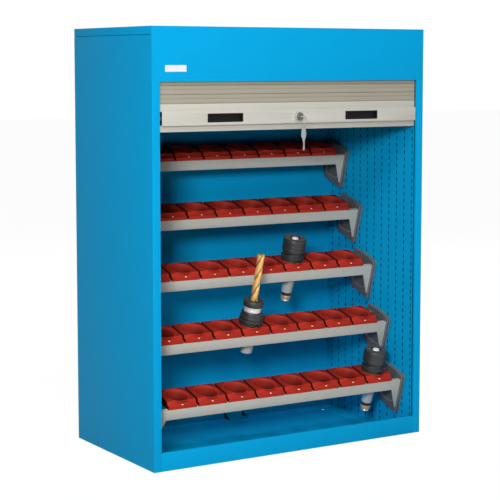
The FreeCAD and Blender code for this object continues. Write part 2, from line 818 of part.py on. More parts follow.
def front_rail():
    """Front rail: a folded channel whose face runs down into a gusset at each end."""
    end = rack_length / 2
    channel = [(rail_bottom_flange, -rail_face), (0, -rail_face), (0, 0), (rail_top_flange, 0)]
    outline = folded(channel[::-1], rack_sheet)
    rail = extruded(outline, "YZ", -end, end)
    gusset = [(end, -rail_face + rack_sheet), (end, -gusset_depth), (end - gusset_tip, -gusset_depth),
              (end - gusset_width, -rail_face), (end - gusset_width, -rail_face + rack_sheet)]
    right = fused([extruded(gusset, "XZ", 0, rack_sheet),
                   extruded([(0, 0), (rail_top_flange, 0), (rack_sheet, -gusset_depth),
                             (0, -gusset_depth)], "YZ", end - rack_sheet, end)])
    return fused([rail, right, mirrored(right)])


def rear_rail():
    """Rear rail: an angle under the back of the inserts."""
    back = insert_front + insert_depth
    path = [(back - rear_rail_flange, 0), (back, 0), (back, -rear_rail_height)]
    outline = folded(path[::-1], rack_sheet)
    return extruded(outline, "YZ", -rack_length / 2, rack_length / 2)


def rack_rails(number):
    """Front and rear rail of one rack."""
    return on_rack(Part.makeCompound([front_rail(), rear_rail()]), number)


def bracket_window(grow):
    """Outline of the bracket's window with its corners cut off, grown all round."""
    r = window_corner
    centres = [(window_end - r, window_top - r), (window_start + r, window_top - r),
               (window_start + r, window_foot + r), (window_end - r, window_foot + r)]
    outline = []
    for quarter, (y, z) in enumerate(centres):
        for step in (0, 90):
            angle = math.radians(90 * quarter + step)
            outline.append((y + (r + grow) * math.cos(angle), z + (r + grow) * math.sin(angle)))
    return outline


def bracket_plate():
    """Right bracket in the rack's frame: plate with a pressed panel, and flanges on its edges."""
    x = rack_length / 2 + bracket_gap
    plate = extruded(bracket_outline, "YZ", x, x + bracket_sheet)
    hollow = extruded(bracket_window(0), "YZ", x, x + dish_depth - bracket_sheet)
    dish = extruded(bracket_window(bracket_sheet), "YZ", x, x + dish_depth).cut(hollow)
    rim = folded(bracket_outline[:bracket_flanged_count], bracket_sheet)
    return fused([plate.cut(hollow), dish, extruded(rim, "YZ", x, x + bracket_width)])


def hook(y, z, x):
    """Hook from the bracket through a slot, standing on the slot's lower edge."""
    low = z - slot_height / 2
    back = panel_inner + sheet + cover_clearance
    tongue = block(x, back + bracket_sheet, y - hook_thickness / 2, y + hook_thickness / 2,
                   low, low + hook_height)
    nose = block(back, back + bracket_sheet, y - hook_thickness / 2, y + hook_thickness / 2,
                 low - hook_drop, low + hook_height)
    return fused([tongue, nose])


def rack_brackets(number):
    """The pair of brackets that carry one rack."""
    right = on_rack(bracket_plate(), number)
    x = rack_length / 2 + bracket_gap + bracket_sheet / 2
    hooks = [hook(*slot_centre(column, row), x) for column, row in rack_slots(number)]
    return on_both_sides(fused([right] + hooks))


def insert(x):
    """Plastic tool insert: block with a lip at its front and a funnel whose wall stands proud."""
    back = insert_front + insert_depth
    section = [(insert_front, 0), (back, 0), (back, insert_thickness),
               (insert_front + insert_lip, insert_thickness),
               (insert_front + insert_lip, insert_lip_thickness), (insert_front, insert_lip_thickness)]
    body = extruded(section, "YZ", x - insert_width / 2, x + insert_width / 2)
    collar = facetted([(0, -sleeve_depth), (throat_radius + collar_wall, -sleeve_depth),
                       (mouth_radius + collar_wall, collar_height), (0, collar_height)], collar_sides)
    funnel = facetted([(0, -sleeve_depth), (throat_radius, -sleeve_depth),
                       (mouth_radius, collar_height), (0, collar_height)], collar_sides)
    centre = Vec(x, insert_centre, 0)
    collar.translate(centre)
    funnel.translate(centre)
    return fused([body, collar]).cut(funnel)


def rack_inserts(number):
    """The row of inserts on one rack."""
    first = -(insert_count - 1) / 2
    row = [insert((first + i) * insert_pitch) for i in range(insert_count)]
    return on_rack(Part.makeCompound(row), number)


# ---- tools ----
def in_insert(shape, spot):
    """Move a tool, made upright about its own axis, into an insert."""
    rack, column = spot
    x = (column - (insert_count - 1) / 2) * insert_pitch
    shape.translate(Vec(x, insert_centre, collar_height + tool_gap))
    return on_rack(shape, rack)


def flange_profile():
    """Gripper flange with its groove, from the bottom up."""
    step = flange_height / 4
    return [(flange_radius - flange_chamfer, 0), (flange_radius, flange_chamfer), (flange_radius, step),
            (groove_radius, 2 * step), (flange_radius, 3 * step), (flange_radius, flange_height)]


def chuck_body():
    """Collet chuck: tapered shank, flange, neck and head with a conical bore."""
    profile = [(0, -shank_length), (shank_tip_radius, -shank_length), (shank_radius, 0)]
    profile += flange_profile()
    profile += [(neck_radius, flange_height), (neck_radius, neck_height),
                (head_radius, neck_height + head_flare), (head_radius, chuck_height - head_chamfer),
                (head_radius - head_chamfer, chuck_height), (bore_radius, chuck_height),
                (0, chuck_height - bore_depth)]
    return facetted(profile, tool_sides)


def chuck_ring():
    """Ring between the shank and the pull stud."""
    top = -shank_length
    low = top - collar_ring_length
    profile = [(0, low), (collar_ring_radius, low), (collar_ring_radius, top), (0, top)]
    return facetted(profile, tool_sides)


def pull_stud():
    """Pull stud at the end of the shank."""
    top = -shank_length - collar_ring_length
    low = top - stud_length
    profile = [(0, low), (stud_radius - stud_chamfer, low), (stud_radius, low + stud_chamfer),
               (stud_radius, top), (0, top)]
    return facetted(profile, tool_sides)


def drill_chuck_body():
    """Drill chuck: shorter shank, flange, stepped body and bright ring."""
    profile = [(0, -drill_shank_length), (drill_shank_tip, -drill_shank_length), (shank_radius, 0)]
    profile += flange_profile()
    profile += [(drill_body_radius, flange_height), (drill_body_radius, drill_body_height),
                (silver_radius, drill_body_height + drill_body_chamfer), (silver_radius, silver_top),
                (0, silver_top)]
    return facetted(profile, tool_sides)


def drill_chuck_nut():
    """Clamping nut with the hole that the drill goes through."""
    top = silver_top + nut_height
    bore = drill_radius + fit
    profile = [(bore, silver_top), (nut_radius - nut_foot_chamfer, silver_top),
               (nut_radius, silver_top + nut_foot_chamfer), (nut_radius, top - nut_nose_chamfer),
               (nut_radius - nut_nose_chamfer, top), (bore, top)]
    return facetted(profile, tool_sides)


def drill_ring(share, height, size):
    """Corners of one section of the drill, turned by its share of the twist."""
    corners = []
    for j in range(drill_corners):
        angle = 2 * math.pi * (j / drill_corners + drill_turns * share)
        in_flute = j % (drill_corners // 2) == 0
        radius = size * (drill_flute if in_flute else 1.0)
        corners.append(Vec(radius * math.cos(angle), radius * math.sin(angle), height))
    return corners


def twist_drill():
    """Twist drill: a fluted section carried round and up, ending in a point."""
    straight = drill_length - drill_point
    rings = []
    for i in range(drill_sections + 1):
        share = i / drill_sections
        rings.append(drill_ring(share, silver_top + share * straight, drill_radius))
    rings.append(drill_ring(1.0, silver_top + drill_length, drill_web))
    faces = []
    for low, high in zip(rings, rings[1:]):
        for j in range(drill_corners):
            k = (j + 1) % drill_corners
            for corners in ((low[j], low[k], high[k]), (low[j], high[k], high[j])):
                faces.append(Part.Face(Part.makePolygon(list(corners) + [corners[0]])))
    for ring in (rings[0], rings[-1]):
        faces.append(Part.Face(Part.makePolygon(ring + ring[:1])))
    solid = Part.makeSolid(Part.makeShell(faces))
    return solid if solid.Volume > 0 else solid.reversed()


# ---- output ----
def save(name, shape):
    """Write one node."""
    shape.exportStep("parts/" + name + ".step")


os.makedirs("parts", exist_ok=True)
save("left_side_panel", mirrored(side_panel()))
save("right_side_panel", side_panel())
save("left_perforated_panel", mirrored(perforated_panel()))
save("right_perforated_panel", perforated_panel())
save("back_panel", back_panel())
save("lid", lid())
save("fascia", fascia())
save("floor_tray", floor_tray())
save("name_plate", name_plate())
save("floor_bracket", floor_bracket())
save("header_cover", header_cover())
save("left_header_plate", mirrored(header_plate()))
save("right_header_plate", header_plate())
save("drum_axle", axle())
save("left_guide_liner", mirrored(guide_liner()))
save("right_guide_liner", guide_liner())
save("bolt_strikes", on_both_sides(bolt_strike()))
for rack in range(rack_count):
    save("rack_%d_rails" % (rack + 1), rack_rails(rack))
    save("rack_%d_brackets" % (rack + 1), rack_brackets(rack))
    save("rack_%d_inserts" % (rack + 1), rack_inserts(rack))
save("drum_tube", drum_tube())
save("drum_discs", on_both_sides(drum_disc()))
save("counterbalance_spring", counterbalance_spring())
save("wound_slats", slats(straight_slats + feeding_slats_count, wound_slats_count, False))
save("feeding_slats", slats(straight_slats, feeding_slats_count, False))
save("straight_slats", slats(0, straight_slats, True))
save("slat_glides", slat_glides())
save("bottom_rail", bottom_rail())
save("rail_caps", on_both_sides(rail_cap()))
save("left_handle_cup", mirrored(handle_cup()))
save("right_handle_cup", handle_cup())
save("lock_housing", lock_housing())
save("lock_plug", lock_plug())
save("lock_cam", lock_cam())
save("key_in_lock", key_in_lock())
foot_split = (bolt_front + bolt_back) / 2
save("right_bolt", bolt(1, bolt_front, foot_split - foot_gap / 2))
save("left_bolt", bolt(-1, foot_split + foot_gap / 2, bolt_back))
save("key_ring", key_ring())
save("spare_key", spare_key())
for name, spot in chuck_places.items():
    save(name + "_body", in_insert(chuck_body(), spot))
    save(name + "_ring", in_insert(chuck_ring(), spot))
    save(name + "_pull_stud", in_insert(pull_stud(), spot))
save("drill_chuck_body", in_insert(drill_chuck_body(), drill_place))
save("drill_chuck_nut", in_insert(drill_chuck_nut(), drill_place))
save("twist_drill", in_insert(twist_drill(), drill_place))
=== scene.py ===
import json
import math

import bmesh
import bpy
from bpy.props import FloatProperty, FloatVectorProperty, PointerProperty
from bpy.types import Operator, Panel, PropertyGroup
from mathutils import Matrix, Vector


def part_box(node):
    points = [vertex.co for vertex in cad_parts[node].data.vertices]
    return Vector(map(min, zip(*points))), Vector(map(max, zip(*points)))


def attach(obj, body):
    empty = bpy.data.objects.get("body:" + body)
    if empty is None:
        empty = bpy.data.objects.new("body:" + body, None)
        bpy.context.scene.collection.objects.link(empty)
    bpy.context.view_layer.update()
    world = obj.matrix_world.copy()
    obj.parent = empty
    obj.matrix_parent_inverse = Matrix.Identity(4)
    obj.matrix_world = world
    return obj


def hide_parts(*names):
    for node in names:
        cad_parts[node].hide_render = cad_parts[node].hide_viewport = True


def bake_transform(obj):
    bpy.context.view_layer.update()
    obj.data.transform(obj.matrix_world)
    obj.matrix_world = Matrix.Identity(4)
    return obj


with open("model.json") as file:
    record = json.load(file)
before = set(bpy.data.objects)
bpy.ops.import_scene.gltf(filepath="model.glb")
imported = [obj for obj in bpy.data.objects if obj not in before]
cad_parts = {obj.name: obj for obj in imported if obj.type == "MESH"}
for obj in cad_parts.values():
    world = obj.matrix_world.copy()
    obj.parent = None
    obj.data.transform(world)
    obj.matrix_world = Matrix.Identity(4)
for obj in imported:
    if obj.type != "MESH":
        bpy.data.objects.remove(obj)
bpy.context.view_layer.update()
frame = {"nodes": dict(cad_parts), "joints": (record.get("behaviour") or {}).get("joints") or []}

bl_info = {
    "name": "Roll front tool cabinet",
    "version": (1, 0, 0),
    "blender": (4, 5, 0),
    "location": "View3D > Sidebar > Cabinet",
    "description": "Detailed pieces and finishes of a steel tool cabinet with a roll shutter",
    "category": "Object",
}

MM = 0.001
MERGE = 0.02 * MM       # points closer than this are one
RACKS = 5
INSERTS = 8


def mm(*points):
    """Points given in millimetres, in metres."""
    return [tuple(c * MM for c in point) for point in points]


def at(value, place, by=0.01 * MM):
    """Whether a value lies at a place."""
    return abs(value - place) < by


# ---- places worked out from the frame ----
def low(node):
    """Lowest corner of a frame node."""
    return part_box(node)[0]


def high(node):
    """Highest corner of a frame node."""
    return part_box(node)[1]


PANEL_FRONT = low("right_perforated_panel").y
PANEL_REAR = high("right_perforated_panel").y
PANEL_FACE = low("right_perforated_panel").x
PANEL_BACK = high("right_perforated_panel").x
PANEL_TOP = high("right_perforated_panel").z
SHEET = low("right_perforated_panel").z
SLAT_END = high("straight_slats").x
SLAT_FRONT = low("straight_slats").y
SLAT_BACK = high("straight_slats").y
RAIL_TOP = high("bottom_rail").z
BULGE_FRONT = low("bottom_rail").y
HEADER_LOW = low("fascia").z
LID_TOP = high("lid").z
TRAVEL = -next(j for j in frame["joints"] if j["name"] == "shutter_lift")["range_m"][0]
LOCK_Z = (low("rail_caps").z + high("rail_caps").z) / 2
LOCK_X = (low("lock_housing").x + high("lock_housing").x) / 2
TILT = math.radians(16)     # slope of the racks
RACK_DEPTH = 108 * MM


# ---- settings ----
def length(name, description, default):
    """A length that the user can change."""
    return FloatProperty(name=name, description=description, default=default, unit="LENGTH", min=0.0)


def colour(name, description, default):
    """A colour that the user can change."""
    return FloatVectorProperty(name=name, description=description, default=default, subtype="COLOR",
                               size=3, min=0.0, max=1.0)


class CabinetSizes(PropertyGroup):
    slot_pitch_y: length("Slot pitch, depth", "Distance between columns of hook slots", 0.045)
    slot_pitch_z: length("Slot pitch, height", "Distance between rows of hook slots", 0.025)
    slot_width: length("Slot width", "Width of a hook slot", 0.006)
    slot_height: length("Slot height", "Height of a hook slot", 0.015)
    slot_edge: length("Slot edge", "Front of the wall to its first column of slots", 0.0085)
    sheet: length("Sheet", "Thickness of the casing's sheet", 0.0015)
    fold_radius: length("Fold radius", "Outside rounding of a folded edge", 0.0011)
    slat_pitch: length("Slat pitch", "Height of one shutter slat", 0.030)
    insert_pitch: length("Insert pitch", "Distance between tool inserts", 0.116)
    insert_centre: length("Insert centre", "Rack front to the middle of a bore", 0.056)


class CabinetColours(PropertyGroup):
    casing: colour("Casing", "Paint of the casing", (0.003, 0.35, 0.69))
    slats: colour("Slats", "Plastic of the shutter's slats", (0.35, 0.325, 0.258))
    rail: colour("Bottom rail", "Lacquer of the shutter's rail", (0.53, 0.515, 0.46))
    rack: colour("Rack rails", "Coated steel of the rack rails", (0.50, 0.505, 0.46))
    bracket: colour("Brackets", "Pressed steel of the brackets", (0.165, 0.16, 0.16))
    insert: colour("Inserts", "Plastic of the tool inserts", (0.46, 0.030, 0.016))
    drill: colour("Drill", "Coating of the twist drill", (0.95, 0.52, 0.17))


def sizes():
    """The lengths as they are set."""
    return bpy.context.scene.cabinet_sizes


def colours():
    """The colours as they are set."""
    return bpy.context.scene.cabinet_colours


# ---- modelling helpers ----
def start():
    """Object mode with nothing selected."""
    if bpy.context.object and bpy.context.object.mode != "OBJECT":
        bpy.ops.object.mode_set(mode="OBJECT")
    bpy.ops.object.select_all(action="DESELECT")


def whole():
    """Select the whole edited mesh."""
    bpy.ops.mesh.select_all(action="SELECT")


def drawn_out(*by):
    """Extrude what is selected by a vector."""
    bpy.ops.mesh.extrude_region_move(TRANSFORM_OT_translate={"value": by})


def applied():
    """The active object with its place, turn and scale in its mesh."""
    bpy.ops.object.transform_apply(location=True, rotation=True, scale=True)
    return bpy.context.object


def only(*pieces):
    """Select these pieces alone, the first one active."""
    start()
    for piece in pieces:
        piece.select_set(True)
    bpy.context.view_layer.objects.active = pieces[0]


def edit(piece):
    """Open a piece in edit mode with nothing selected."""
    only(piece)
    bpy.ops.object.mode_set(mode="EDIT")
    bpy.ops.mesh.select_all(action="DESELECT")


def close():
    """Back to object mode, with the faces of the edited piece pointing outwards."""
    whole()
    bpy.ops.mesh.normals_make_consistent(inside=False)
    bpy.ops.object.mode_set(mode="OBJECT")
    return bpy.context.object


def pick(kind, test):
    """Select the faces or edges of the edited mesh whose middle passes a test."""
    mesh = bmesh.from_edit_mesh(bpy.context.object.data)
    bpy.ops.mesh.select_mode(type={"faces": "FACE", "edges": "EDGE"}[kind])
    bpy.ops.mesh.select_all(action="DESELECT")
    for item in getattr(mesh, kind):
        if test(item.calc_center_median() if kind == "faces" else (item.verts[0].co + item.verts[1].co) / 2):
            item.select_set(True)
    mesh.select_flush_mode()
    bmesh.update_edit_mesh(bpy.context.object.data)


def round_corners(piece, test, width, segments):
    """Round the edges of a block whose middle passes a test."""
    edit(piece)
    pick("edges", test)
    bpy.ops.mesh.bevel(offset=width, segments=segments)
    return close()


def chain(name, points):
    """Edges drawn from point to point, left open in edit mode."""
    start()
    bpy.ops.mesh.primitive_plane_add(size=MM, location=(0, 0, 0))
    piece = bpy.context.object
    piece.name = name
    bpy.ops.object.mode_set(mode="EDIT")
    bpy.ops.mesh.select_mode(type="VERT")
    whole()
    bpy.ops.mesh.merge(type="CENTER")
    points = [Vector(p) for p in points]
    bpy.ops.transform.translate(value=points[0])
    for a, b in zip(points, points[1:]):
        drawn_out(*(b - a))
    return piece


def filled(name, points):
    """Closed outline with a face in it, left open in edit mode."""
    chain(name, points)
    whole()
    bpy.ops.mesh.edge_face_add()


def prism(name, points, along):
    """Solid drawn as a closed outline and extruded along a vector."""
    filled(name, points)
    drawn_out(*along)
    return close()


def yz(points, x=0.0):
    """Points of an outline given in depth and height, at one place across."""
    return [(x, y, z) for y, z in points]


def lathe(name, profile, steps=64, round_by=0.5, scale=MM):
    """Solid spun round Z from millimetre points (radius, height), with its edges broken."""
    chain(name, [(r * scale, 0, h * scale) for r, h in profile])
    whole()
    bpy.ops.mesh.spin(steps=steps, angle=2 * math.pi, center=(0, 0, 0), axis=(0, 0, 1))
    whole()
    bpy.ops.mesh.remove_doubles(threshold=MERGE)
    piece = close()
    return rounded(piece, round_by * MM, angle=25) if round_by else piece


def block(name, corner, opposite):
    """Box between two corners."""
    start()
    a, b = Vector(corner), Vector(opposite)
    bpy.ops.mesh.primitive_cube_add(size=1, location=(a + b) / 2, scale=[abs(c) for c in b - a])
    bpy.context.object.name = name
    return applied()


def rod(name, radius, start_at, end_at, sides=32):
    """Round bar between two points."""
    a, b = Vector(start_at), Vector(end_at)
    start()
    turn = (b - a).to_track_quat("Z", "Y").to_euler()
    bpy.ops.mesh.primitive_cylinder_add(vertices=sides, radius=radius, depth=(b - a).length,
                                        location=(a + b) / 2, rotation=turn)
    bpy.context.object.name = name
    return applied()


def modified(piece, kind, **values):
    """Add a modifier with these values and apply it."""
    only(piece)
    modifier = piece.modifiers.new(kind.title(), kind)
    for key, value in values.items():
        setattr(modifier, key, value)
    bpy.ops.object.modifier_apply(modifier=modifier.name)
    return piece


def carved(piece, *cutters):
    """Cut these shapes out of a piece."""
    for cutter in cutters:
        modified(piece, "BOOLEAN", operation="DIFFERENCE", solver="EXACT", object=cutter)
        bpy.data.objects.remove(cutter)
    return piece


def united(piece, *others):
    """Melt these shapes into a piece."""
    for other in others:
        modified(piece, "BOOLEAN", operation="UNION", solver="EXACT", object=other)
        bpy.data.objects.remove(other)
    return piece


def joined(name, pieces):
    """One object from several, each keeping its own closed surface."""
    only(*pieces)
    if len(pieces) > 1:
        bpy.ops.object.join()
    bpy.context.object.name = name
    return bpy.context.object


def rounded(piece, width, segments=2, angle=30):
    """Round the edges sharper than an angle."""
    return modified(piece, "BEVEL", width=width, segments=segments, limit_method="ANGLE",
                    angle_limit=math.radians(angle), harden_normals=False, use_clamp_overlap=True)


def smooth(piece, angle=32):
    """Shade a piece smooth, but for the edges sharper than an angle."""
    only(piece)
    bpy.ops.object.shade_smooth_by_angle(angle=math.radians(angle))


def placed(piece, matrix):
    """Move a piece's mesh, leaving the object at the origin."""
    piece.data.transform(matrix)
    if matrix.determinant() < 0:
        piece.data.flip_normals()
    return piece


def twin(piece, matrix):
    """Placed copy of a piece with its own mesh."""
    copy = piece.copy()
    copy.data = piece.data.copy()
    bpy.context.collection.objects.link(copy)
    return placed(copy, matrix)


def copies(name, piece, matrices):
    """Copies of a piece, joined as one. The original goes."""
    made = [twin(piece, matrix) for matrix in matrices]
    bpy.data.objects.remove(piece)
    return joined(name, made)


def shifted(x=0.0, y=0.0, z=0.0):
    return Matrix.Translation((x, y, z))


MIRROR = Matrix.Diagonal((-1, 1, 1, 1))
TO_FRONT = Matrix.Rotation(math.radians(90), 4, "X")      # Z of a turned piece becomes -Y


def settled(piece, body, material, replaces=(), angle=32):
    """Give a finished piece its look, its body and the nodes that it stands for."""
    smooth(piece, angle)
    piece.data.materials.clear()
    piece.data.materials.append(finish(material))
    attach(piece, body)
    if replaces:
        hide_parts(*replaces)
    return piece


def refaced(piece, material, test):
    """Give the faces that pass a test a second finish."""
    piece.data.materials.append(finish(material))
    for face in piece.data.polygons:
        if test(face):
            face.material_index = 1


def dressed(node, material, body="cabinet", fold=None, name=None):
    """A merged copy of a frame node with rounded folds, in place of the node."""
    start()
    piece = bpy.data.objects.new(name or node + "_sheet", frame["nodes"][node].data.copy())
    bpy.context.collection.objects.link(piece)
    edit(piece)
    whole()
    bpy.ops.mesh.remove_doubles(threshold=MERGE / 2)
    bpy.ops.mesh.dissolve_limited(angle_limit=math.radians(1))
    close()
    custom = piece.data.attributes.get("custom_normal")
    if custom:
        piece.data.attributes.remove(custom)
    rounded(piece, sizes().fold_radius if fold is None else fold, segments=3)
    return settled(piece, body, material, (node,))


# ---- finishes ----
def node_group(name, inputs, outputs):
    """Empty shader group. Its inputs are numbers or vectors, its outputs numbers."""
    group = bpy.data.node_groups.new(name, "ShaderNodeTree")
    for label, value in inputs.items():
        kind = "NodeSocketVector" if isinstance(value, tuple) else "NodeSocketFloat"
        group.interface.new_socket(label, in_out="INPUT", socket_type=kind).default_value = value
    for label in outputs:
        group.interface.new_socket(label, in_out="OUTPUT", socket_type="NodeSocketFloat")
    return group, group.nodes.new("NodeGroupInput").outputs, group.nodes.new("NodeGroupOutput")


def wired(tree, node, inputs):
    """Give a node its inputs, each a value or a socket to link."""
    for socket, value in inputs.items():
        if isinstance(value, bpy.types.NodeSocket):
            tree.links.new(value, node.inputs[socket])
        else:
            node.inputs[socket].default_value = value
    return node


def made(tree, kind, inputs, **settings):
    """Shader node of a kind, with its settings and inputs."""
    node = tree.nodes.new("ShaderNode" + kind)
    for key, value in settings.items():
        setattr(node, key, value)
    return wired(tree, node, inputs)


def noise(tree, vector, scale, detail, roughness):
    """Noise fed by a vector."""
    return made(tree, "TexNoise", {"Vector": vector, "Scale": scale, "Detail": detail,
                                   "Roughness": roughness}).outputs["Fac"]


def surface_group():
    """Fine grain for bumps, and slow patches for roughness and colour."""
    group, given, out = node_group(
        "Surface grain", {"Vector": (0, 0, 0), "Grain scale": 900.0, "Patch scale": 6.0, "Smoothest": 0.3,
                          "Roughest": 0.45}, ("Height", "Roughness", "Patches"))
    patches = noise(group, given["Vector"], given["Patch scale"], 4.0, 0.6)
    gloss = made(group, "MapRange", {"Value": patches, "To Min": given["Smoothest"],
                                     "To Max": given["Roughest"]})
    wired(group, out, {"Height": noise(group, given["Vector"], given["Grain scale"], 2.0, 0.5),
                       "Patches": patches, "Roughness": gloss.outputs["Result"]})
    return group


def lines_group():
    """Fine drawn or turned lines along one direction, from a stretched vector."""
    group, given, out = node_group(
        "Drawn lines", {"Vector": (0, 0, 0), "Stretch": (1, 1, 1), "Line scale": 300.0}, ("Height",))
    stretched = made(group, "VectorMath", {0: given["Vector"], 1: given["Stretch"]}, operation="MULTIPLY")
    wired(group, out, {"Height": noise(group, stretched.outputs["Vector"], given["Line scale"], 3.0, 0.65)})
    return group


def shared(name, build):
    """A shared group, built the first time that it is asked for."""
    return bpy.data.node_groups.get(name) or build()


def coated(name, tint, smoothest, roughest, metallic, grain, bump, shade, patch, specular,
           painted_light_gain=1.0, lines=None, recess=None):
    """Finish with grain, slow patches of gloss and colour, and drawn lines where it has them; where asked,
    painted shade from a mesh attribute and painted light as a brightened tint.
    """
    material = bpy.data.materials.new(name)
    material.use_nodes = True
    tree = material.node_tree
    place = made(tree, "TexCoord", {}).outputs["Object"]
    surface = made(tree, "Group", {"Vector": place, "Grain scale": grain, "Patch scale": patch,
                                   "Smoothest": smoothest, "Roughest": roughest},
                   node_tree=shared("Surface grain", surface_group)).outputs
    # a gain above 1 brightens the tint: painted light
    dark, pale = [[min(1.0, painted_light_gain * c * by) for c in tint] + [1] for by in (1 - shade, 1 + shade)]
    colour_out = made(tree, "Mix", {"Factor": surface["Patches"], "A": dark, "B": pale},
                      data_type="RGBA").outputs["Result"]
    # painted shade: the tint darkens where the mesh attribute says so
    if recess:
        colour_out = with_painted_shade(tree, colour_out, recess)
    height = surface["Height"]
    if lines:
        height = made(tree, "Group", {"Vector": place, "Stretch": lines},
                      node_tree=shared("Drawn lines", lines_group)).outputs["Height"]
    relief = made(tree, "Bump", {"Strength": 1.0, "Distance": bump * MM, "Height": height})
    wired(tree, tree.nodes["Principled BSDF"], {
        "Base Color": colour_out, "Metallic": metallic, "Roughness": surface["Roughness"],
        "Specular IOR Level": specular, "Normal": relief.outputs["Normal"]})
    return material


def with_painted_shade(tree, tint, dark):
    """Darker tint where a mesh attribute paints shade into the colour."""
    mask = made(tree, "Attribute", {}, attribute_name="recess")
    return made(tree, "Mix", {"Factor": mask.outputs["Fac"], "A": tint, "B": (*dark, 1)},
                data_type="RGBA").outputs["Result"]


# Tint or the colour setting that gives it, smoothest, roughest, metallic, scale of the grain,
# depth of its bumps in mm, spread of the tint, scale of the patches, specular level.
FINISHES = {
    "casing_paint": ("casing", 0.36, 0.46, 0, 700, 0.012, 0.03, 6, 0.015),
    "floor_paint": ("casing", 0.4, 0.5, 0, 700, 0.012, 0.04, 6, 0.05),
    # painted shade behind the hook slots
    "dark_primer": ((0.0, 0.035, 0.07), 0.6, 0.8, 0, 500, 0.02, 0.15, 6, 0.1),
    "slat_plastic": ("slats", 0.5, 0.62, 0, 1500, 0.02, 0.05, 6, 0.2),
    "rail_lacquer": ("rail", 0.38, 0.5, 0, 900, 0.012, 0.03, 6, 0.5),
    "rack_coating": ("rack", 0.45, 0.6, 0, 260, 0.02, 0.08, 45, 0.15),
    "bracket_steel": ("bracket", 0.36, 0.52, 0.4, 400, 0.03, 0.3, 30, 0.5),
    # bare cut edges, lighter as a painted highlight too
    "bracket_edge": ((0.34, 0.335, 0.33), 0.36, 0.5, 0.3, 400, 0.02, 0.3, 60, 0.5),
    # casing blue darkened: painted shade in the guides
    "guide_paint": ((0.0, 0.10, 0.20), 0.5, 0.65, 0, 900, 0.02, 0.1, 6, 0.1),
    "insert_plastic": ("insert", 0.5, 0.6, 0, 1200, 0.015, 0.12, 18, 0.1),
    "black_plastic": ((0.004, 0.004, 0.005), 0.5, 0.65, 0, 2200, 0.03, 0.2, 6, 0.2),
    "plate_film": ((0.72, 0.75, 0.80), 0.2, 0.3, 0, 600, 0.004, 0.02, 6, 0.5),
    "dark_steel": ((0.03, 0.032, 0.034), 0.34, 0.5, 0.2, 600, 0.01, 0.2, 40, 0.5),
    "ground_top": ((0.13, 0.13, 0.135), 0.35, 0.5, 0.7, 600, 0.01, 0.15, 40, 0.5),
    "ground_steel": ((0.78, 0.77, 0.75), 0.28, 0.4, 0.3, 600, 0.006, 0.06, 30, 0.5),
    # near-white steel: a painted glint in place of polished steel's reflection
    "bright_steel": ((0.93, 0.92, 0.90), 0.3, 0.42, 0.1, 700, 0.005, 0.04, 60, 0.5),
    "zinc_steel": ((0.50, 0.50, 0.51), 0.3, 0.5, 0.9, 500, 0.01, 0.12, 35, 0.5),
    "nickel": ((0.62, 0.61, 0.59), 0.2, 0.32, 0.8, 800, 0.005, 0.05, 60, 0.5),
    "lock_face": ((0.085, 0.088, 0.09), 0.3, 0.45, 0.5, 800, 0.006, 0.15, 90, 0.5),
    "key_steel": ((0.36, 0.365, 0.36), 0.4, 0.55, 0.35, 800, 0.006, 0.15, 90, 0.5),
    "copper_steel": ((0.88, 0.64, 0.42), 0.28, 0.4, 0.5, 800, 0.006, 0.08, 60, 0.5),
    "drill_coating": ("drill", 0.28, 0.42, 0.35, 900, 0.01, 0.14, 90, 0.5),
}
EXTRAS = {
    # painted light on the floor tray's upward faces
    "floor_paint": {"painted_light_gain": 1.4},
    "dark_steel": {"lines": (0.05, 0.05, 6.0)},
    "ground_steel": {"lines": (0.05, 0.05, 8.0)},
    # dark red of the painted shade on the inserts
    "insert_plastic": {"recess": (0.02, 0.004, 0.004)},
    # dark orange of the painted shade in the drill's flutes
    "drill_coating": {"recess": (0.28, 0.08, 0.02)},
}


def finish(name):
    """The named finish, made when it is first used."""
    made = bpy.data.materials.get("fine_" + name)
    if made:
        return made
    tint, *values = FINISHES[name]
    if isinstance(tint, str):
        tint = getattr(colours(), tint)
    return coated("fine_" + name, tint, *values, **EXTRAS.get(name, {}))


# ---- pieces ----
class CabinetOperator:
    """What the operators share"""
    bl_options = {"REGISTER", "UNDO"}


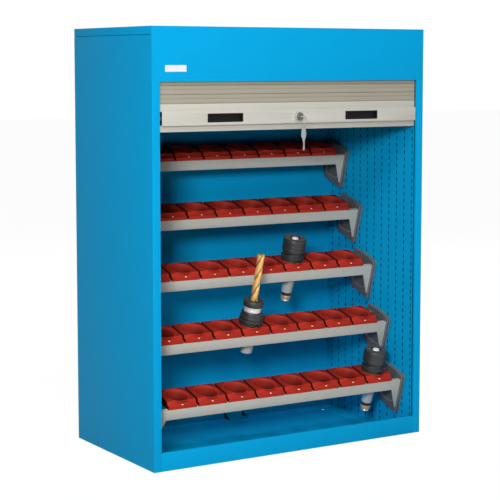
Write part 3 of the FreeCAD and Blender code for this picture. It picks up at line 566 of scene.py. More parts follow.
class CABINET_OT_casing(CabinetOperator, Operator):
    """Folded sheets of the casing, with rounded edges and paint"""
    bl_idname = "cabinet.casing"
    bl_label = "Casing"

    def execute(self, context):
        for node in ("left_side_panel", "right_side_panel", "lid", "fascia", "floor_tray",
                     "back_panel", "header_cover"):
            dressed(node, "casing_paint")
        for side in ("left", "right"):
            self.painted_slot_shade(bpy.data.objects[side + "_side_panel_sheet"])
        self.lifted(bpy.data.objects["lid_sheet"])
        # The floor tray's upward faces and the sill's top get a brighter paint: painted light.
        refaced(bpy.data.objects["floor_tray_sheet"], "floor_paint", lambda f: f.normal.z > 0.35)
        self.bracket()
        for node in ("left_header_plate", "right_header_plate"):
            paint_node(node, "casing_paint")
        self.name_plate()
        return {"FINISHED"}

    def painted_slot_shade(self, side):
        """Dark paint where the side sheet is hidden behind the slotted wall: painted shade seen through the
        slots.
        """
        inside = high("right_side_panel").x - 3 * sizes().sheet
        refaced(side, "dark_primer", lambda f: (abs(f.normal.x) > 0.9 and f.normal.x * f.center.x <= 0
                                                and abs(f.center.x) > inside))

    def lifted(self, lid):
        """Open the joint between the lid's skirt and the sheets below it."""
        foot, joint = low("lid").z + 6 * MM, 1.1 * MM
        for vertex in lid.data.vertices:
            if vertex.co.z < foot:
                vertex.co.z += joint

    def bracket(self):
        """Floor bracket in casing paint, with dark steel on its two cheeks as painted shade."""
        a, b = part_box("floor_bracket")
        middle, reach = (a.x + b.x) / 2, (b.x - a.x) / 2 - 5 * MM
        refaced(dressed("floor_bracket", "casing_paint", fold=0.4 * MM), "dark_steel",
                lambda f: abs(f.center.x - middle) > reach)

    def name_plate(self):
        plate = block("bare_name_plate", low("name_plate"), high("name_plate"))
        edit(plate)
        pick("faces", lambda c: c.y < low("name_plate").y + 0.1 * MM)
        bpy.ops.mesh.inset(thickness=1.2 * MM)
        bpy.ops.transform.translate(value=(0, 0.25 * MM, 0))
        close()
        rounded(plate, 0.2 * MM)
        settled(plate, "cabinet", "plate_film", ("name_plate",))


def paint_node(node, material):
    """Give a frame node a finish and leave its shape."""
    mesh = frame["nodes"][node].data
    mesh.materials.clear()
    mesh.materials.append(finish(material))


class CABINET_OT_perforated_walls(CabinetOperator, Operator):
    """Inner side walls with their full pattern of hook slots"""
    bl_idname = "cabinet.perforated_walls"
    bl_label = "Perforated walls"

    def execute(self, context):
        s = sizes()
        first = PANEL_FRONT + s.slot_edge - s.slot_pitch_y / 2
        columns = int((PANEL_REAR - first) / s.slot_pitch_y)
        rows = int((PANEL_TOP - s.slot_height) / s.slot_pitch_z)
        wall = self.cell(s)
        for count, step in ((columns, (0, s.slot_pitch_y, 0)), (rows, (0, 0, s.slot_pitch_z))):
            modified(wall, "ARRAY", count=count, use_relative_offset=False, use_constant_offset=True,
                     constant_offset_displace=step, use_merge_vertices=True, merge_threshold=MERGE)
        placed(wall, shifted(PANEL_FACE, first + s.slot_pitch_y / 2, s.slot_pitch_z / 2))
        self.trim(wall, first + columns * s.slot_pitch_y, rows * s.slot_pitch_z)
        modified(wall, "SOLIDIFY", thickness=s.sheet, offset=-1)
        rounded(wall, 0.3 * MM, segments=1, angle=60)
        wall.name = "right_slotted_wall"
        left = joined("left_slotted_wall", [twin(wall, MIRROR)])
        settled(wall, "cabinet", "casing_paint", ("right_perforated_panel",))
        settled(left, "cabinet", "casing_paint", ("left_perforated_panel",))
        return {"FINISHED"}

    def cell(self, s):
        """One slot with the sheet round it."""
        half_y, half_z = s.slot_pitch_y / 2, s.slot_pitch_z / 2
        filled("slot_cell", [(0, -half_y, -half_z), (0, half_y, -half_z), (0, half_y, half_z),
                             (0, -half_y, half_z)])
        margin = half_z - s.slot_height / 2
        bpy.ops.mesh.inset(thickness=margin)
        bpy.ops.transform.resize(value=(1, s.slot_width / 2 / (half_y - margin), 1),
                                 center_override=(0, 0, 0))
        bpy.ops.mesh.bevel(offset=s.slot_width * 0.35, segments=2, affect="VERTICES")
        pick("faces", lambda c: c.length < 0.1 * MM)
        bpy.ops.mesh.delete(type="FACE")
        bpy.ops.object.mode_set(mode="OBJECT")
        return bpy.context.object

    def trim(self, wall, far, top):
        """Cut the pattern to the wall's front and foot, and fold its edges outwards."""
        edit(wall)
        for point, normal in (((0, PANEL_FRONT, 0), (0, -1, 0)), ((0, 0, SHEET), (0, 0, -1))):
            whole()
            bpy.ops.mesh.bisect(plane_co=point, plane_no=normal, clear_outer=True)
        pick("edges", lambda c: at(c.y, far))
        drawn_out(0, PANEL_REAR - far, 0)
        pick("edges", lambda c: at(c.z, top))
        drawn_out(0, 0, PANEL_TOP - top)
        for y in (PANEL_FRONT, PANEL_REAR):
            pick("edges", lambda c: at(c.y, y) and at(c.x, PANEL_FACE))
            drawn_out(PANEL_BACK - PANEL_FACE, 0, 0)
        whole()
        bpy.ops.mesh.remove_doubles(threshold=MERGE / 2)
        close()
        front_face = [p for p in wall.data.polygons if abs(p.normal.x) > 0.9][0]
        if front_face.normal.x > 0:
            wall.data.flip_normals()


class CABINET_OT_guides(CabinetOperator, Operator):
    """Shutter guides behind the posts, and the strikes in them"""
    bl_idname = "cabinet.guides"
    bl_label = "Guides"

    def execute(self, context):
        for node in ("left_guide_liner", "right_guide_liner"):
            # The liners get the casing blue darkened, as painted shade inside the guides.
            dressed(node, "guide_paint", fold=0.4 * MM)
        for node in ("bolt_strikes", "drum_axle", "drum_tube", "drum_discs", "counterbalance_spring"):
            paint_node(node, "zinc_steel")
        return {"FINISHED"}


SLAT_SECTION = ((0.05, 1.4), (0.5, 2.9), (1.5, 3.9), (3.0, 4.25), (12.2, 4.25), (13.2, 3.9), (14.0, 3.1),
                (15.0, 2.8), (16.0, 3.1), (16.8, 3.9), (17.8, 4.25), (27.0, 4.25), (28.5, 3.9),
                (29.5, 2.9), (29.95, 1.4), (26.0, -4.2), (4.0, -4.2))


class CABINET_OT_curtain(CabinetOperator, Operator):
    """Slats of the shutter: the ones in the guides, and the ones that follow them off the coil"""
    bl_idname = "cabinet.curtain"
    bl_label = "Curtain"

    def execute(self, context):
        pitch = sizes().slat_pitch
        count = round((high("straight_slats").z - RAIL_TOP) / pitch)
        run = self.slats("hanging_slats", [RAIL_TOP + i * pitch for i in range(count)])
        settled(run, "shutter", "slat_plastic", ("straight_slats",))
        self.following(RAIL_TOP + count * pitch, pitch)
        paint_node("wound_slats", "slat_plastic")
        paint_node("slat_glides", "black_plastic")
        return {"FINISHED"}

    def slats(self, name, heights):
        """Slats with their lower joints at these heights."""
        middle = (SLAT_FRONT + SLAT_BACK) / 2
        section = [(middle - b * MM, a * MM) for a, b in SLAT_SECTION]
        slat = prism("slat", yz(section, -SLAT_END), (2 * SLAT_END, 0, 0))
        return copies(name, slat, [shifted(z=z) for z in heights])

    def following(self, foot, pitch):
        """Slats that appear as the shutter closes, gathered behind the fascia while it is open."""
        top = LID_TOP - 12 * MM
        count = math.ceil((TRAVEL + HEADER_LOW - foot) / pitch) + 2
        run = self.slats("following_slats", [foot - TRAVEL + i * pitch for i in range(count)])
        share = top - foot + 2.0 * MM
        for vertex in run.data.vertices:
            vertex.co.z = self.gathered(vertex.co.z, foot + 0.5 * MM, share)
        smooth(run)
        run.data.materials.clear()
        run.data.materials.append(finish("slat_plastic"))
        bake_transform(run)
        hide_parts("feeding_slats")

    def gathered(self, closed, foot, share):
        """Height at rest of a point whose height is known when the shutter is closed."""
        below, above = 0.0, 1.0
        for _ in range(40):
            t = (below + above) / 2
            follow = t * t * (3 - 2 * t)
            if foot + share * (1 - t) - follow * TRAVEL > closed:
                below = t
            else:
                above = t
        return foot + share * (1 - below)


class CABINET_OT_bottom_rail(CabinetOperator, Operator):
    """Bottom rail of the shutter with its end plugs"""
    bl_idname = "cabinet.bottom_rail"
    bl_label = "Bottom rail"

    def execute(self, context):
        rail = dressed("bottom_rail", "rail_lacquer", "shutter", fold=1.2 * MM,
                       name="hollow_bottom_rail")
        self.bulge_ends(rail)
        dressed("rail_caps", "black_plastic", "shutter", fold=0.4 * MM)
        return {"FINISHED"}

    def bulge_ends(self, rail):
        """Bring the ends of the bulge out towards the posts."""
        band, ends, reach = BULGE_FRONT + 13 * MM, high("bottom_rail").x - 25 * MM, 5 * MM
        for vertex in rail.data.vertices:
            if vertex.co.y < band and abs(vertex.co.x) > ends:
                vertex.co.x += math.copysign(reach, vertex.co.x)


class CABINET_OT_handles(CabinetOperator, Operator):
    """Recessed grip cups in the bottom rail"""
    bl_idname = "cabinet.handles"
    bl_label = "Handles"

    def execute(self, context):
        for side in ("left", "right"):
            node = side + "_handle_cup"
            cup = self.cup(side + "_grip_cup", low(node), high(node))
            settled(cup, "shutter", "black_plastic", (node,))
        return {"FINISHED"}

    def cup(self, name, a, b):
        """Rim and body in one, hollowed, with a lip for the fingers under the top."""
        rim, inset, wall = 1.0 * MM, 2 * MM, 3.5 * MM
        cup = block(name, a, (b.x, a.y + rim, b.z))
        body = block("body", (a.x + inset, a.y, a.z + inset), (b.x - inset, b.y, b.z - inset))
        united(cup, body)
        hollow = block("hollow", (a.x + wall, a.y - 1 * MM, a.z + wall),
                       (b.x - wall, b.y - 1.5 * MM, b.z - wall))
        middle = (a.y + b.y) / 2
        carved(cup, round_corners(hollow, lambda c: at(c.y, middle, 3 * MM), 2 * MM, 4))
        lip = block("finger_lip", (a.x + wall + 3 * MM, a.y + 6 * MM, b.z - wall - 0.1 * MM),
                    (b.x - wall - 3 * MM, b.y - 3 * MM, b.z - wall - 3 * MM))
        united(cup, lip)
        return rounded(cup, 0.5 * MM)


class CABINET_OT_lock(CabinetOperator, Operator):
    """Lock in the rail, with the key in it and a second key on the ring"""
    bl_idname = "cabinet.lock"
    bl_label = "Lock and keys"

    def execute(self, context):
        self.housing()
        self.plug()
        self.key()
        self.ring()
        self.spare()
        for node in ("lock_cam", "left_bolt", "right_bolt"):
            paint_node(node, "zinc_steel")
        return {"FINISHED"}

    def along_lock(self, piece, y):
        """Lay a turned piece along the lock, its foot at this depth."""
        return placed(piece, shifted(LOCK_X, y, LOCK_Z) @ TO_FRONT)

    def housing(self):
        a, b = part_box("lock_housing")
        deep, neck, r = (b.y - a.y) / MM, (b.y - BULGE_FRONT) / MM, (b.x - a.x) / 2 / MM
        barrel, bore = 9.4, 5.56
        profile = [(bore, 0), (barrel, 0), (barrel, neck), (r, neck), (r, neck + 1.6), (r - 0.7, neck + 2.4),
                   (r - 0.7, deep - 5.2), (r, deep - 4.4), (r, deep - 1.6), (r - 0.5, deep - 0.6),
                   (r - 1.6, deep), (bore + 3.4, deep), (bore + 2.8, deep - 0.9),
                   (bore + 0.9, deep - 0.9), (bore + 0.5, deep), (bore, deep), (bore, 0)]
        piece = self.along_lock(lathe("lock_cylinder", profile, 56, 0), b.y)
        rounded(piece, 0.15 * MM)
        settled(piece, "shutter", "nickel", ("lock_housing",))
        refaced(piece, "lock_face", lambda f: f.normal.y < -0.8 and f.center.y < a.y + 2 * MM)

    def plug(self):
        a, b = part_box("lock_plug")
        deep, r = (b.y - a.y) / MM, (b.x - a.x) / 2 / MM
        profile = [(0, 0), (r, 0), (r, deep - 0.4), (r - 0.4, deep), (0, deep)]
        piece = self.along_lock(lathe("turning_plug", profile, 40, 0), b.y)
        reach, half = 3.7 * MM, 1.3 * MM
        carved(piece, block("keyway", (LOCK_X - reach, a.y - 1 * MM, LOCK_Z - half),
                            (LOCK_X + reach, high("key_in_lock").y + 0.5 * MM, LOCK_Z + half)))
        settled(piece, "lock_plug", "lock_face", ("lock_plug",))

    def key(self):
        """Key in the plug: a pierced bow, a shoulder and a milled blade."""
        a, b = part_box("key_in_lock")
        front, back, plug, half = (v / MM for v in (a.y, b.y, low("lock_plug").y, (b.x - a.x) / 2))
        right = [(half - 4.2, front), (half - 1.6, front + 1.1), (half, front + 4.2), (half, plug - 9),
                 (half - 1.4, plug - 6), (half - 4.2, plug - 3.2), (4.6, plug - 2.4), (4.6, plug - 0.6),
                 (3.4, plug - 0.6), (3.4, back - 2.5), (1.0, back)]
        outline = [(LOCK_X + x * MM, y * MM, a.z) for x, y in right + [(-x, y) for x, y in right[::-1]]]
        piece = prism("key_in_plug", outline, (0, 0, b.z - a.z))
        hole = block("key_slot", (LOCK_X - 3 * MM, a.y + 2.4 * MM, a.z - 1 * MM),
                     (LOCK_X + 3 * MM, a.y + 14.9 * MM, b.z + 1 * MM))
        carved(piece, round_corners(hole, lambda c: at(c.z, LOCK_Z, 0.1 * MM), 1.6 * MM, 4))
        rounded(piece, 0.3 * MM)
        settled(piece, "lock_plug", "nickel", ("key_in_lock",))

    def ring(self):
        """Split ring: two turns of flat wire, lapped."""
        a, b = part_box("key_ring")
        wire = (b.x - a.x) / 2
        start()
        bpy.ops.mesh.primitive_torus_add(major_segments=64, minor_segments=12,
                                         major_radius=(b.z - a.z) / 2 - wire, minor_radius=wire * 0.5,
                                         location=(0, 0, 0), rotation=(0, math.pi / 2, 0))
        x, y, z = (a + b) / 2
        pair = copies("split_ring", applied(), [shifted(x + side * wire * 0.38, y, z) for side in (-1, 1)])
        settled(pair, "spare_key", "key_steel", ("key_ring",))

    def spare(self):
        """Second key: leaf-shaped bow, shoulder and cut blade."""
        a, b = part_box("spare_key")
        top, tip = b.z, a.z
        bow = [(3.2, 0), (5.0, 1.2), (6.4, 5), (8.6, 15), (9.7, 25), (9.7, 29), (8.9, 33), (6.4, 39),
               (4.6, 43), (4.6, 46), (3.4, 47)]
        plain = [(3.4, 77), (0.8, 80.5)]
        cut = [(3.4, 51), (2.2, 53), (2.9, 55.5), (1.6, 58), (2.4, 61), (1.5, 64), (2.6, 67), (2.0, 70),
               (3.0, 73), (3.2, 77), (0.8, 80.5)]
        drop = (top - tip) / plain[-1][1]
        sides = bow + plain + [(-x, z) for x, z in (bow + cut)[::-1]]
        piece = prism("hanging_key", [(LOCK_X + x * MM, a.y, top - z * drop) for x, z in sides],
                      (0, b.y - a.y, 0))
        hole = top - 4.5 * MM
        carved(piece, rod("hole", 2.5 * MM, (LOCK_X, a.y - MM, hole), (LOCK_X, b.y + MM, hole), 24))
        for y in (a.y - 0.4 * MM, b.y - 0.4 * MM):
            carved(piece, block("groove", (LOCK_X - 0.6 * MM, y, tip - 1 * MM),
                                (LOCK_X + 1.0 * MM, y + 0.8 * MM, top - 46 * MM)))
        rounded(piece, 0.3 * MM)
        settled(piece, "spare_key", "key_steel", ("spare_key",))


def rack_frame(number):
    """Placement of a rack: X across, Y up its slope, Z square to it, from its front edge."""
    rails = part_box("rack_%d_rails" % number)
    z = rails[1].z - RACK_DEPTH * math.sin(TILT)
    return shifted(0, rails[0].y, z) @ Matrix.Rotation(TILT, 4, "X")


class CABINET_OT_rack_rails(CabinetOperator, Operator):
    """Front and rear rails of the racks"""
    bl_idname = "cabinet.rack_rails"
    bl_label = "Rack rails"

    def execute(self, context):
        for n in range(1, RACKS + 1):
            dressed("rack_%d_rails" % n, "rack_coating", fold=0.7 * MM)
        return {"FINISHED"}


class CABINET_OT_inserts(CabinetOperator, Operator):
    """Plastic tool inserts with their screws"""
    bl_idname = "cabinet.inserts"
    bl_label = "Tool inserts"

    def execute(self, context):
        s = sizes()
        for n in range(1, RACKS + 1):
            places = [rack_frame(n) @ shifted((i - (INSERTS - 1) / 2) * s.insert_pitch, 0, 0)
                      for i in range(INSERTS)]
            row = copies("rack_%d_tool_inserts" % n, self.insert(s), places)
            settled(row, "cabinet", "insert_plastic", ("rack_%d_inserts" % n,))
            screws = copies("rack_%d_insert_screws" % n, self.screw(), places)
            # near-white screws: a painted glint in place of polished steel's reflection
            settled(screws, "cabinet", "bright_steel")
        return {"FINISHED"}

    def insert(self, s):
        """Hollow block with a lip at its front, a funnel through it and a low rim round the funnel."""
        half = 54 * MM
        section = mm((2, 0.0), (108, 0.0), (108, 22.2), (107.2, 23.0), (20.4, 23.0), (19.4, 22.5),
                     (11.4, 12.6), (10.4, 12.0), (2.8, 11.8), (2, 11.0), (2.0, 7.2), (2.5, 6.8), (2.5, 6.2),
                     (2.0, 5.8))
        piece = prism("insert", yz(section, -half), (2 * half, 0, 0))
        under = block("under", *mm((-51, 5, -1), (51, 105, 19.5)))
        step = block("step", *mm((-60, 0, 9), (60, 19, 30)))
        carved(piece, carved(under, step))
        sleeve = [(0, -11.8), (33.4, -11.8), (34, -11.2), (44.9, 23.4), (45.3, 24.4), (44.7, 25.0), (0, 25.0)]
        funnel = [(0, -13), (29.5, -13), (29.5, -11), (37.2, 14.5), (40.0, 20.5), (42.2, 24.2), (43.4, 25.2),
                  (43.4, 28), (0, 28)]
        centre = shifted(0, s.insert_centre, 0)
        united(piece, placed(lathe("sleeve", sleeve, 56, 0), centre))
        carved(piece, placed(lathe("funnel", funnel, 56, 0), centre))
        rounded(piece, 0.5 * MM, angle=35)
        # painted shade on the blocks' sides, in the funnels and on the tops
        self.recess(piece, half, s.insert_centre)
        return piece

    def recess(self, piece, half, centre):
        """Painted shade as an attribute: dark sides between two blocks, a funnel darker with depth and
        towards its right, and a darker block top that leaves the rim lighter as a painted highlight.
        """
        mesh = piece.data
        mask = mesh.attributes.new("recess", "FLOAT", "CORNER")
        rim, deep, bore = 24.6 * MM, 24 * MM, 43.8 * MM
        for face in mesh.polygons:
            side = abs(face.normal.x) > 0.95 and abs(face.center.x) > half - 0.2 * MM
            for corner in face.loop_indices:
                x, y, z = mesh.vertices[mesh.loops[corner].vertex_index].co
                radius = math.hypot(x, y - centre)
                depth = min(1.0, max(0.0, (rim - z) / deep))
                if side:
                    mask.data[corner].value = 0.97
                elif radius < bore and depth:
                    mask.data[corner].value = depth ** 0.7 * (0.54 + 0.45 * x / max(radius, MM))
                # darker block top, so that the rim stands out: painted shade and painted highlight
                elif face.normal.z > 0.9 and 20 * MM < z < deep:
                    mask.data[corner].value = 0.48

    def screw(self):
        """Pan head screw with a cross, at the front of the insert."""
        profile = [(0, -1.5), (2.0, -1.5), (2.0, 0), (4.2, 0), (4.1, 1.0), (3.2, 2.0), (1.6, 2.6), (0, 2.7)]
        screw = lathe("screw", profile, 20, 0, 0.72 * MM)
        for turn in (0, 90):
            bar = block("cross", *mm((-1.4, -0.35, 1.3), (1.4, 0.35, 4)))
            carved(screw, placed(bar, Matrix.Rotation(math.radians(turn), 4, "Z")))
        return placed(screw, shifted(0, 7.2 * MM, 11.9 * MM))


class CABINET_OT_brackets(CabinetOperator, Operator):
    """Pressed brackets that hook the racks into the slotted walls"""
    bl_idname = "cabinet.brackets"
    bl_label = "Brackets"

    OUTLINE = mm((124, 22), (32, 22), (-4, 13), (-4, -130), (10, -130), (108, -123), (127, -60))
    WINDOW = (23, 105, -101, -50)
    FACE = 499              # inner face of the right bracket's plate, in millimetres

    def execute(self, context):
        for n in range(1, RACKS + 1):
            right = joined("bracket", [placed(self.bracket(), rack_frame(n))] + self.hooks(n))
            both = copies("rack_%d_pressed_brackets" % n, right, [Matrix.Identity(4), MIRROR])
            settled(both, "cabinet", "bracket_steel", ("rack_%d_brackets" % n,))
            # lighter strips along the edges: bare cut metal, and a painted highlight
            edges = copies("rack_%d_bracket_edges" % n, self.edges(), [rack_frame(n), MIRROR @ rack_frame(n)])
            settled(edges, "cabinet", "bracket_edge")
        return {"FINISHED"}

    def window(self, name, grow, x1, x2):
        """Rounded block the size of the pressed panel."""
        y1, y2, z1, z2 = self.WINDOW
        piece = block(name, *mm((x1, y1 - grow, z1 - grow), (x2, y2 + grow, z2 + grow)))
        middle = (x1 + x2) / 2 * MM
        return round_corners(piece, lambda c: at(c.x, middle, 0.1 * MM), (16 + grow) * MM, 8)

    def bracket(self):
        """Plate, the flange folded out along its front and top, and the pressed panel."""
        x = self.FACE
        plate = prism("bracket_plate", yz(self.OUTLINE, x * MM), (2 * MM, 0, 0))
        carved(plate, self.window("opening", 0, x - 2, x + 5))
        dish = self.window("dish", 1.6, x + 0.1, x + 7.5)
        carved(dish, self.window("dish_hollow", 0, x - 2, x + 6))
        flange = prism("flange", yz(self.folded(2 * MM), x * MM), (14 * MM, 0, 0))
        united(plate, flange, dish)
        return rounded(plate, 0.6 * MM, angle=35)

    def edges(self):
        """Bare cut edges, made lighter as a painted highlight too: along both sides of the flange and round
        the pressed panel.
        """
        x, outside = self.FACE, self.folded(-0.3 * MM)
        bend = prism("bend_edge", yz(outside, (x - 0.2) * MM), (2.4 * MM, 0, 0))
        free = prism("free_edge", yz(outside, (x + 12) * MM), (2.2 * MM, 0, 0))
        ring = self.window("window_edge", 3.4, x - 0.3, x + 0.4)
        carved(ring, self.window("window_inside", 0.2, x - 2, x + 2))
        return joined("edges", [bend, free, ring])

    def folded(self, thickness):
        """Outline of a strip along the plate's top and front, its thickness to the left."""
        path = self.OUTLINE[:5]
        inner = []
        for i, point in enumerate(path):
            normals = []
            for a, b in zip(path[max(i - 1, 0):i + 1], path[max(i - 1, 0) + 1:i + 2]):
                along = (Vector(b) - Vector(a)).normalized()
                normals.append(Vector((-along.y, along.x)))
            mean = sum(normals, Vector((0, 0))) / len(normals)
            inner.append(tuple(Vector(point) + mean * (thickness / mean.length_squared)))
        return path + inner[::-1]

    def hooks(self, number):
        """Three hooks through the wall, each standing on the lower edge of its slot."""
        s = sizes()
        face, back, half = 500 * MM, 523.8 * MM, 1.5 * MM
        made = []
        for column, row in ((1, 6), (3, 7), (2, 3)):
            y = PANEL_FRONT + s.slot_edge + (column + 2 * (number - 1)) * s.slot_pitch_y
            z = (row + 0.5 + 8 * (number - 1)) * s.slot_pitch_z - s.slot_height / 2
            tongue = block("hook", (face, y - half, z), (back, y + half, z + 9 * MM))
            nose = block("nose", (back - 2 * MM, y - half, z - 6 * MM), (back, y + half, z + 9 * MM))
            made.append(rounded(united(tongue, nose), 0.4 * MM))
        return made


def tool_frame(rack, column):
    """Placement of a tool: Z along its axis, from the top of its insert's collar."""
    x = (column - (INSERTS + 1) / 2) * sizes().insert_pitch
    return rack_frame(rack) @ shifted(x, sizes().insert_centre, 25.3 * MM)


FLANGE = [(0, 0.2), (40, 0.2), (42.5, 2.4), (42.5, 6.0), (40.6, 6.3), (37.6, 8.5), (40.6, 10.7)]
TAPER = [(0, 0.3), (28.4, 0.3), (28.4, -2)]


def turned_part(tool, part, place, profile, material, nodes=(), steps=64, round_by=0.5):
    """Plain turned part of a tool, in its place."""
    piece = lathe("%s_%s" % (tool, part), profile, steps, round_by)
    settled(placed(piece, place), tool, material, nodes)


def drive_slots(piece):
    """The two slots in a tool's flange."""
    for side in (-1, 1):
        carved(piece, block("drive_slot", *mm((-8, side * 34, -1), (8, side * 46, 9))))
    return piece


class CABINET_OT_chucks(CabinetOperator, Operator):
    """Collet chucks that stand in the racks"""
    bl_idname = "cabinet.chucks"
    bl_label = "Collet chucks"

    def execute(self, context):
        for name, rack, column in (("chuck_1", 3, 6), ("chuck_2", 1, 8)):
            place = tool_frame(rack, column)
            self.head(name, place)
            self.shank(name, place)
        return {"FINISHED"}

    def head(self, name, place):
        head = drive_slots(lathe(name + "_head", FLANGE + [
            (42.0, 11.0), (42.0, 17), (36.6, 18.2), (34.0, 20.0), (34.0, 28.5), (35, 30), (40.4, 32.5),
            (42.0, 35.0), (42.0, 48.0), (41.4, 48.7), (42.0, 49.4), (42.0, 60.0), (41.4, 60.7),
            (42.0, 61.4), (42.0, 79), (40.6, 82.0), (38, 82.5), (0, 82.5)]))
        carved(head, lathe("bore", [(0, 55), (19, 55), (19, 85), (0, 85)], 48, 0))
        settled(placed(head, place), name, "dark_steel", (name + "_body",))
        top = [(19.2, 75), (19.2, 82.4), (21, 83), (37.3, 83), (38.2, 82.6), (38.2, 81.8), (19.2, 75)]
        turned_part(name, "top_ring", place, top, "ground_top", round_by=0)
        nut = lathe(name + "_collet", [(0, 65), (18.9, 65), (18.9, 77.5), (17.6, 79.0), (13.6, 79.0),
                                       (12.4, 78.0), (12.4, 70), (0, 70)], 48, 0)
        for i in range(6):
            slit = block("slit", *mm((11, -0.5, 67), (20, 0.5, 85)))
            carved(nut, placed(slit, Matrix.Rotation(math.radians(60 * i), 4, "Z")))
        settled(placed(nut, place), name, "dark_steel")
        nose = [(0, 70), (8.5, 70), (12.3, 79), (12.3, 81.2), (11.2, 83.2), (4, 84), (2.6, 83), (0, 82.6)]
        # near-white nose: a painted glint in place of polished steel's reflection
        turned_part(name, "nose", place, nose, "bright_steel", steps=48, round_by=0.3)

    def shank(self, name, place):
        taper = TAPER + [(19.1, -126.4), (18.2, -127), (0, -127)]
        turned_part(name, "taper", place, taper, "ground_steel", round_by=0.2)
        ring = [(0, -127), (17.5, -127), (17.5, -139), (0, -139)]
        turned_part(name, "tail_ring", place, ring, "dark_steel", (name + "_ring",), 48, 0.8)
        stud = [(0, -139), (17.6, -139), (17.8, -140), (17.8, -151), (15.0, -153.5), (13.2, -156),
                (14.8, -158.5), (14.8, -160), (0, -160)]
        turned_part(name, "stud", place, stud, "copper_steel", (name + "_pull_stud",), 48)


class CABINET_OT_drill_chuck(CabinetOperator, Operator):
    """Drill chuck with its twist drill"""
    bl_idname = "cabinet.drill_chuck"
    bl_label = "Drill chuck"

    def execute(self, context):
        place = tool_frame(2, 4)
        body = drive_slots(lathe("drill_chuck_flange", FLANGE + [
            (42.5, 11.0), (42.5, 17), (39.2, 18.2), (39.2, 20.5), (40.6, 22), (40.6, 30.5), (39.6, 31.6),
            (37.2, 32.2), (37.2, 43), (36.2, 46), (33.6, 47.6), (30.2, 48), (0, 48)]))
        settled(placed(body, place), "drill_chuck", "dark_steel", ("drill_chuck_body",))
        band = [(0, 48), (31, 48), (31, 56.4), (30.4, 57), (31, 57.6), (31, 67), (0, 67)]
        turned_part("drill_chuck", "band", place, band, "ground_steel", round_by=0.4)
        nut = [(13.4, 67), (33.0, 67), (34.9, 68.2), (35.5, 70.5), (35.5, 82), (34.4, 86.2), (31.0, 89.2),
               (27, 90), (17.5, 90), (14.4, 88.6), (13.4, 86.6), (13.4, 67)]
        turned_part("drill_chuck", "nut_ring", place, nut, "dark_steel",
                    ("drill_chuck_nut",), round_by=0.3)
        taper = TAPER + [(21.6, -109.4), (20.6, -110), (0, -110)]
        turned_part("drill_chuck", "taper", place, taper, "ground_steel", round_by=0.2)
        drill = placed(self.drill(), place)
        settled(drill, "drill_chuck", "drill_coating", ("twist_drill",), angle=40)
        return {"FINISHED"}

    def drill(self):
        """Fluted bar, twisted, with a cone point."""
        radius, foot, tip, point = (v * MM for v in (12.9, 68, 262, 5))
        sides, steps = 36, 56
        flute, land = 0.62, 1.25        # half angle of a flute, and where the land behind it ends
        section = []
        for i in range(sides):
            angle = 2 * math.pi * i / sides
            near = abs((angle + math.pi / 2) % math.pi - math.pi / 2)
            depth = 0.40 * max(0.0, 1 - (near / flute) ** 2) + (0.04 if flute < near < land else 0.0)
            reach = radius * (1 - depth)
            section.append((reach * math.cos(angle), reach * math.sin(angle), foot))
        filled("fluted_drill", section)
        for _ in range(steps):
            drawn_out(0, 0, (tip - point - foot) / steps)
        drawn_out(0, 0, point)
        bpy.ops.transform.resize(value=(0.25, 0.25, 1), center_override=(0, 0, tip))
        piece = close()
        # painted shade in the flutes, darker towards the bottom of each flute
        mask = piece.data.attributes.new("recess", "FLOAT", "POINT")
        for vertex, value in zip(piece.data.vertices, mask.data):
            value.value = min(1.0, 2.2 * max(0.0, 0.93 - vertex.co.to_2d().length / radius))
        return modified(piece, "SIMPLE_DEFORM", deform_method="TWIST", deform_axis="Z",
                        angle=math.radians(620))


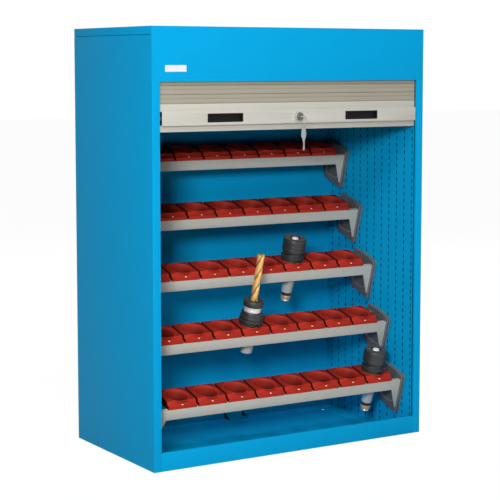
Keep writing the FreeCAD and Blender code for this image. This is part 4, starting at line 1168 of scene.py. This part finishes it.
class CABINET_OT_stage(CabinetOperator, Operator):
    """Floor, lamps, sky and camera"""
    bl_idname = "cabinet.stage"
    bl_label = "Stage"

    def execute(self, context):
        self.floor()
        self.lamps()
        self.world(context.scene)
        self.camera(context.scene)
        context.scene.view_settings.view_transform = "Standard"
        context.scene.cycles.diffuse_bounces = 1
        return {"FINISHED"}

    def floor(self):
        start()
        bpy.ops.mesh.primitive_plane_add(size=60, location=(0, 0, -0.5 * MM))
        floor = applied()
        floor.name = "studio_floor"
        material = bpy.data.materials.new("studio_floor")
        material.use_nodes = True
        tree = material.node_tree
        shader = wired(tree, tree.nodes["Principled BSDF"], {"Base Color": (0.72, 0.72, 0.72, 1),
                                                             "Roughness": 0.9})
        self.whitened(tree, shader.outputs["BSDF"], "Emission", 1.04, 0.93, "Material Output")
        floor.data.materials.append(material)

    def whitened(self, tree, plain, kind, strength, share, output):
        """White for what the camera sees of a plain floor or sky."""
        white = made(tree, kind, {"Color": (1, 1, 1, 1), "Strength": strength})
        mix = made(tree, "MixShader", {"Fac": self.seen(tree, share), 1: plain, 2: white.outputs[0]})
        wired(tree, tree.nodes[output], {"Surface": mix.outputs["Shader"]})

    def seen(self, tree, share):
        """Share of white for rays from the camera and through metal and glass."""
        rays = made(tree, "LightPath", {})
        total = rays.outputs["Is Camera Ray"]
        for name in ("Is Glossy Ray", "Is Transmission Ray"):
            total = made(tree, "Math", {0: total, 1: rays.outputs[name]}, operation="MAXIMUM").outputs[0]
        return made(tree, "Math", {0: total, 1: share}, operation="MULTIPLY").outputs[0]

    def lamps(self):
        for name, place, size, power, aim in (
                ("key_lamp", (-3.65, -4.6, 2.3), 0.9, 220, (0, 0, 0.8)),
                ("top_lamp", (-1.8, -4.1, 5.8), 2.4, 195, (0, -0.1, 0.6)),
                ("rear_lamp", (3.4, 4.2, 3.2), 2.6, 130, (0, 0, 0.6))):
            start()
            bpy.ops.object.light_add(type="AREA", location=place)
            lamp = bpy.context.object
            lamp.name = name
            lamp.data.size = size
            lamp.data.energy = power
            lamp.rotation_mode = "QUATERNION"
            lamp.rotation_quaternion = (Vector(aim) - Vector(place)).to_track_quat("-Z", "Y")

    def world(self, scene):
        world = bpy.data.worlds.new("studio")
        scene.world = world
        world.use_nodes = True
        tree = world.node_tree
        soft = wired(tree, tree.nodes["Background"], {"Color": (1, 1, 1, 1), "Strength": 0.035})
        self.whitened(tree, soft.outputs["Background"], "Background", 1.03, 1.0, "World Output")

    def camera(self, scene):
        start()
        bpy.ops.object.camera_add(location=(-2.8859, -4.6597, 1.3303))
        camera = bpy.context.object
        turn, drop = math.radians(31.756), math.radians(5.763)
        look = Vector((math.sin(turn) * math.cos(drop), math.cos(turn) * math.cos(drop), -math.sin(drop)))
        camera.rotation_mode = "QUATERNION"
        camera.rotation_quaternion = look.to_track_quat("-Z", "Y")
        camera.data.sensor_width = 36
        camera.data.lens = 111.66
        camera.data.shift_y = -0.06
        camera.data.clip_end = 200
        scene.camera = camera


class CABINET_PT_pieces(Panel):
    """Sidebar list of the cabinet's pieces"""
    bl_idname = "CABINET_PT_pieces"
    bl_label = "Tool cabinet"
    bl_space_type = "VIEW_3D"
    bl_region_type = "UI"
    bl_category = "Cabinet"

    def draw(self, context):
        for group in (context.scene.cabinet_sizes, context.scene.cabinet_colours):
            column = self.layout.column(align=True)
            for name in group.__annotations__:
                column.prop(group, name)
        column = self.layout.column()
        for operator in OPERATORS:
            column.operator(operator.bl_idname)


OPERATORS = (CABINET_OT_casing, CABINET_OT_perforated_walls, CABINET_OT_guides, CABINET_OT_curtain,
             CABINET_OT_bottom_rail, CABINET_OT_handles, CABINET_OT_lock, CABINET_OT_rack_rails,
             CABINET_OT_inserts, CABINET_OT_brackets, CABINET_OT_chucks, CABINET_OT_drill_chuck,
             CABINET_OT_stage)
CLASSES = (CabinetSizes, CabinetColours) + OPERATORS + (CABINET_PT_pieces,)


def register():
    for item in CLASSES:
        bpy.utils.register_class(item)
    bpy.types.Scene.cabinet_sizes = PointerProperty(type=CabinetSizes)
    bpy.types.Scene.cabinet_colours = PointerProperty(type=CabinetColours)


def unregister():
    del bpy.types.Scene.cabinet_colours
    del bpy.types.Scene.cabinet_sizes
    for item in reversed(CLASSES):
        bpy.utils.unregister_class(item)


def main():
    register()
    for operator in OPERATORS:
        group, name = operator.bl_idname.split(".")
        getattr(getattr(bpy.ops, group), name)()
    start()


if __name__ == "__main__":
    main()
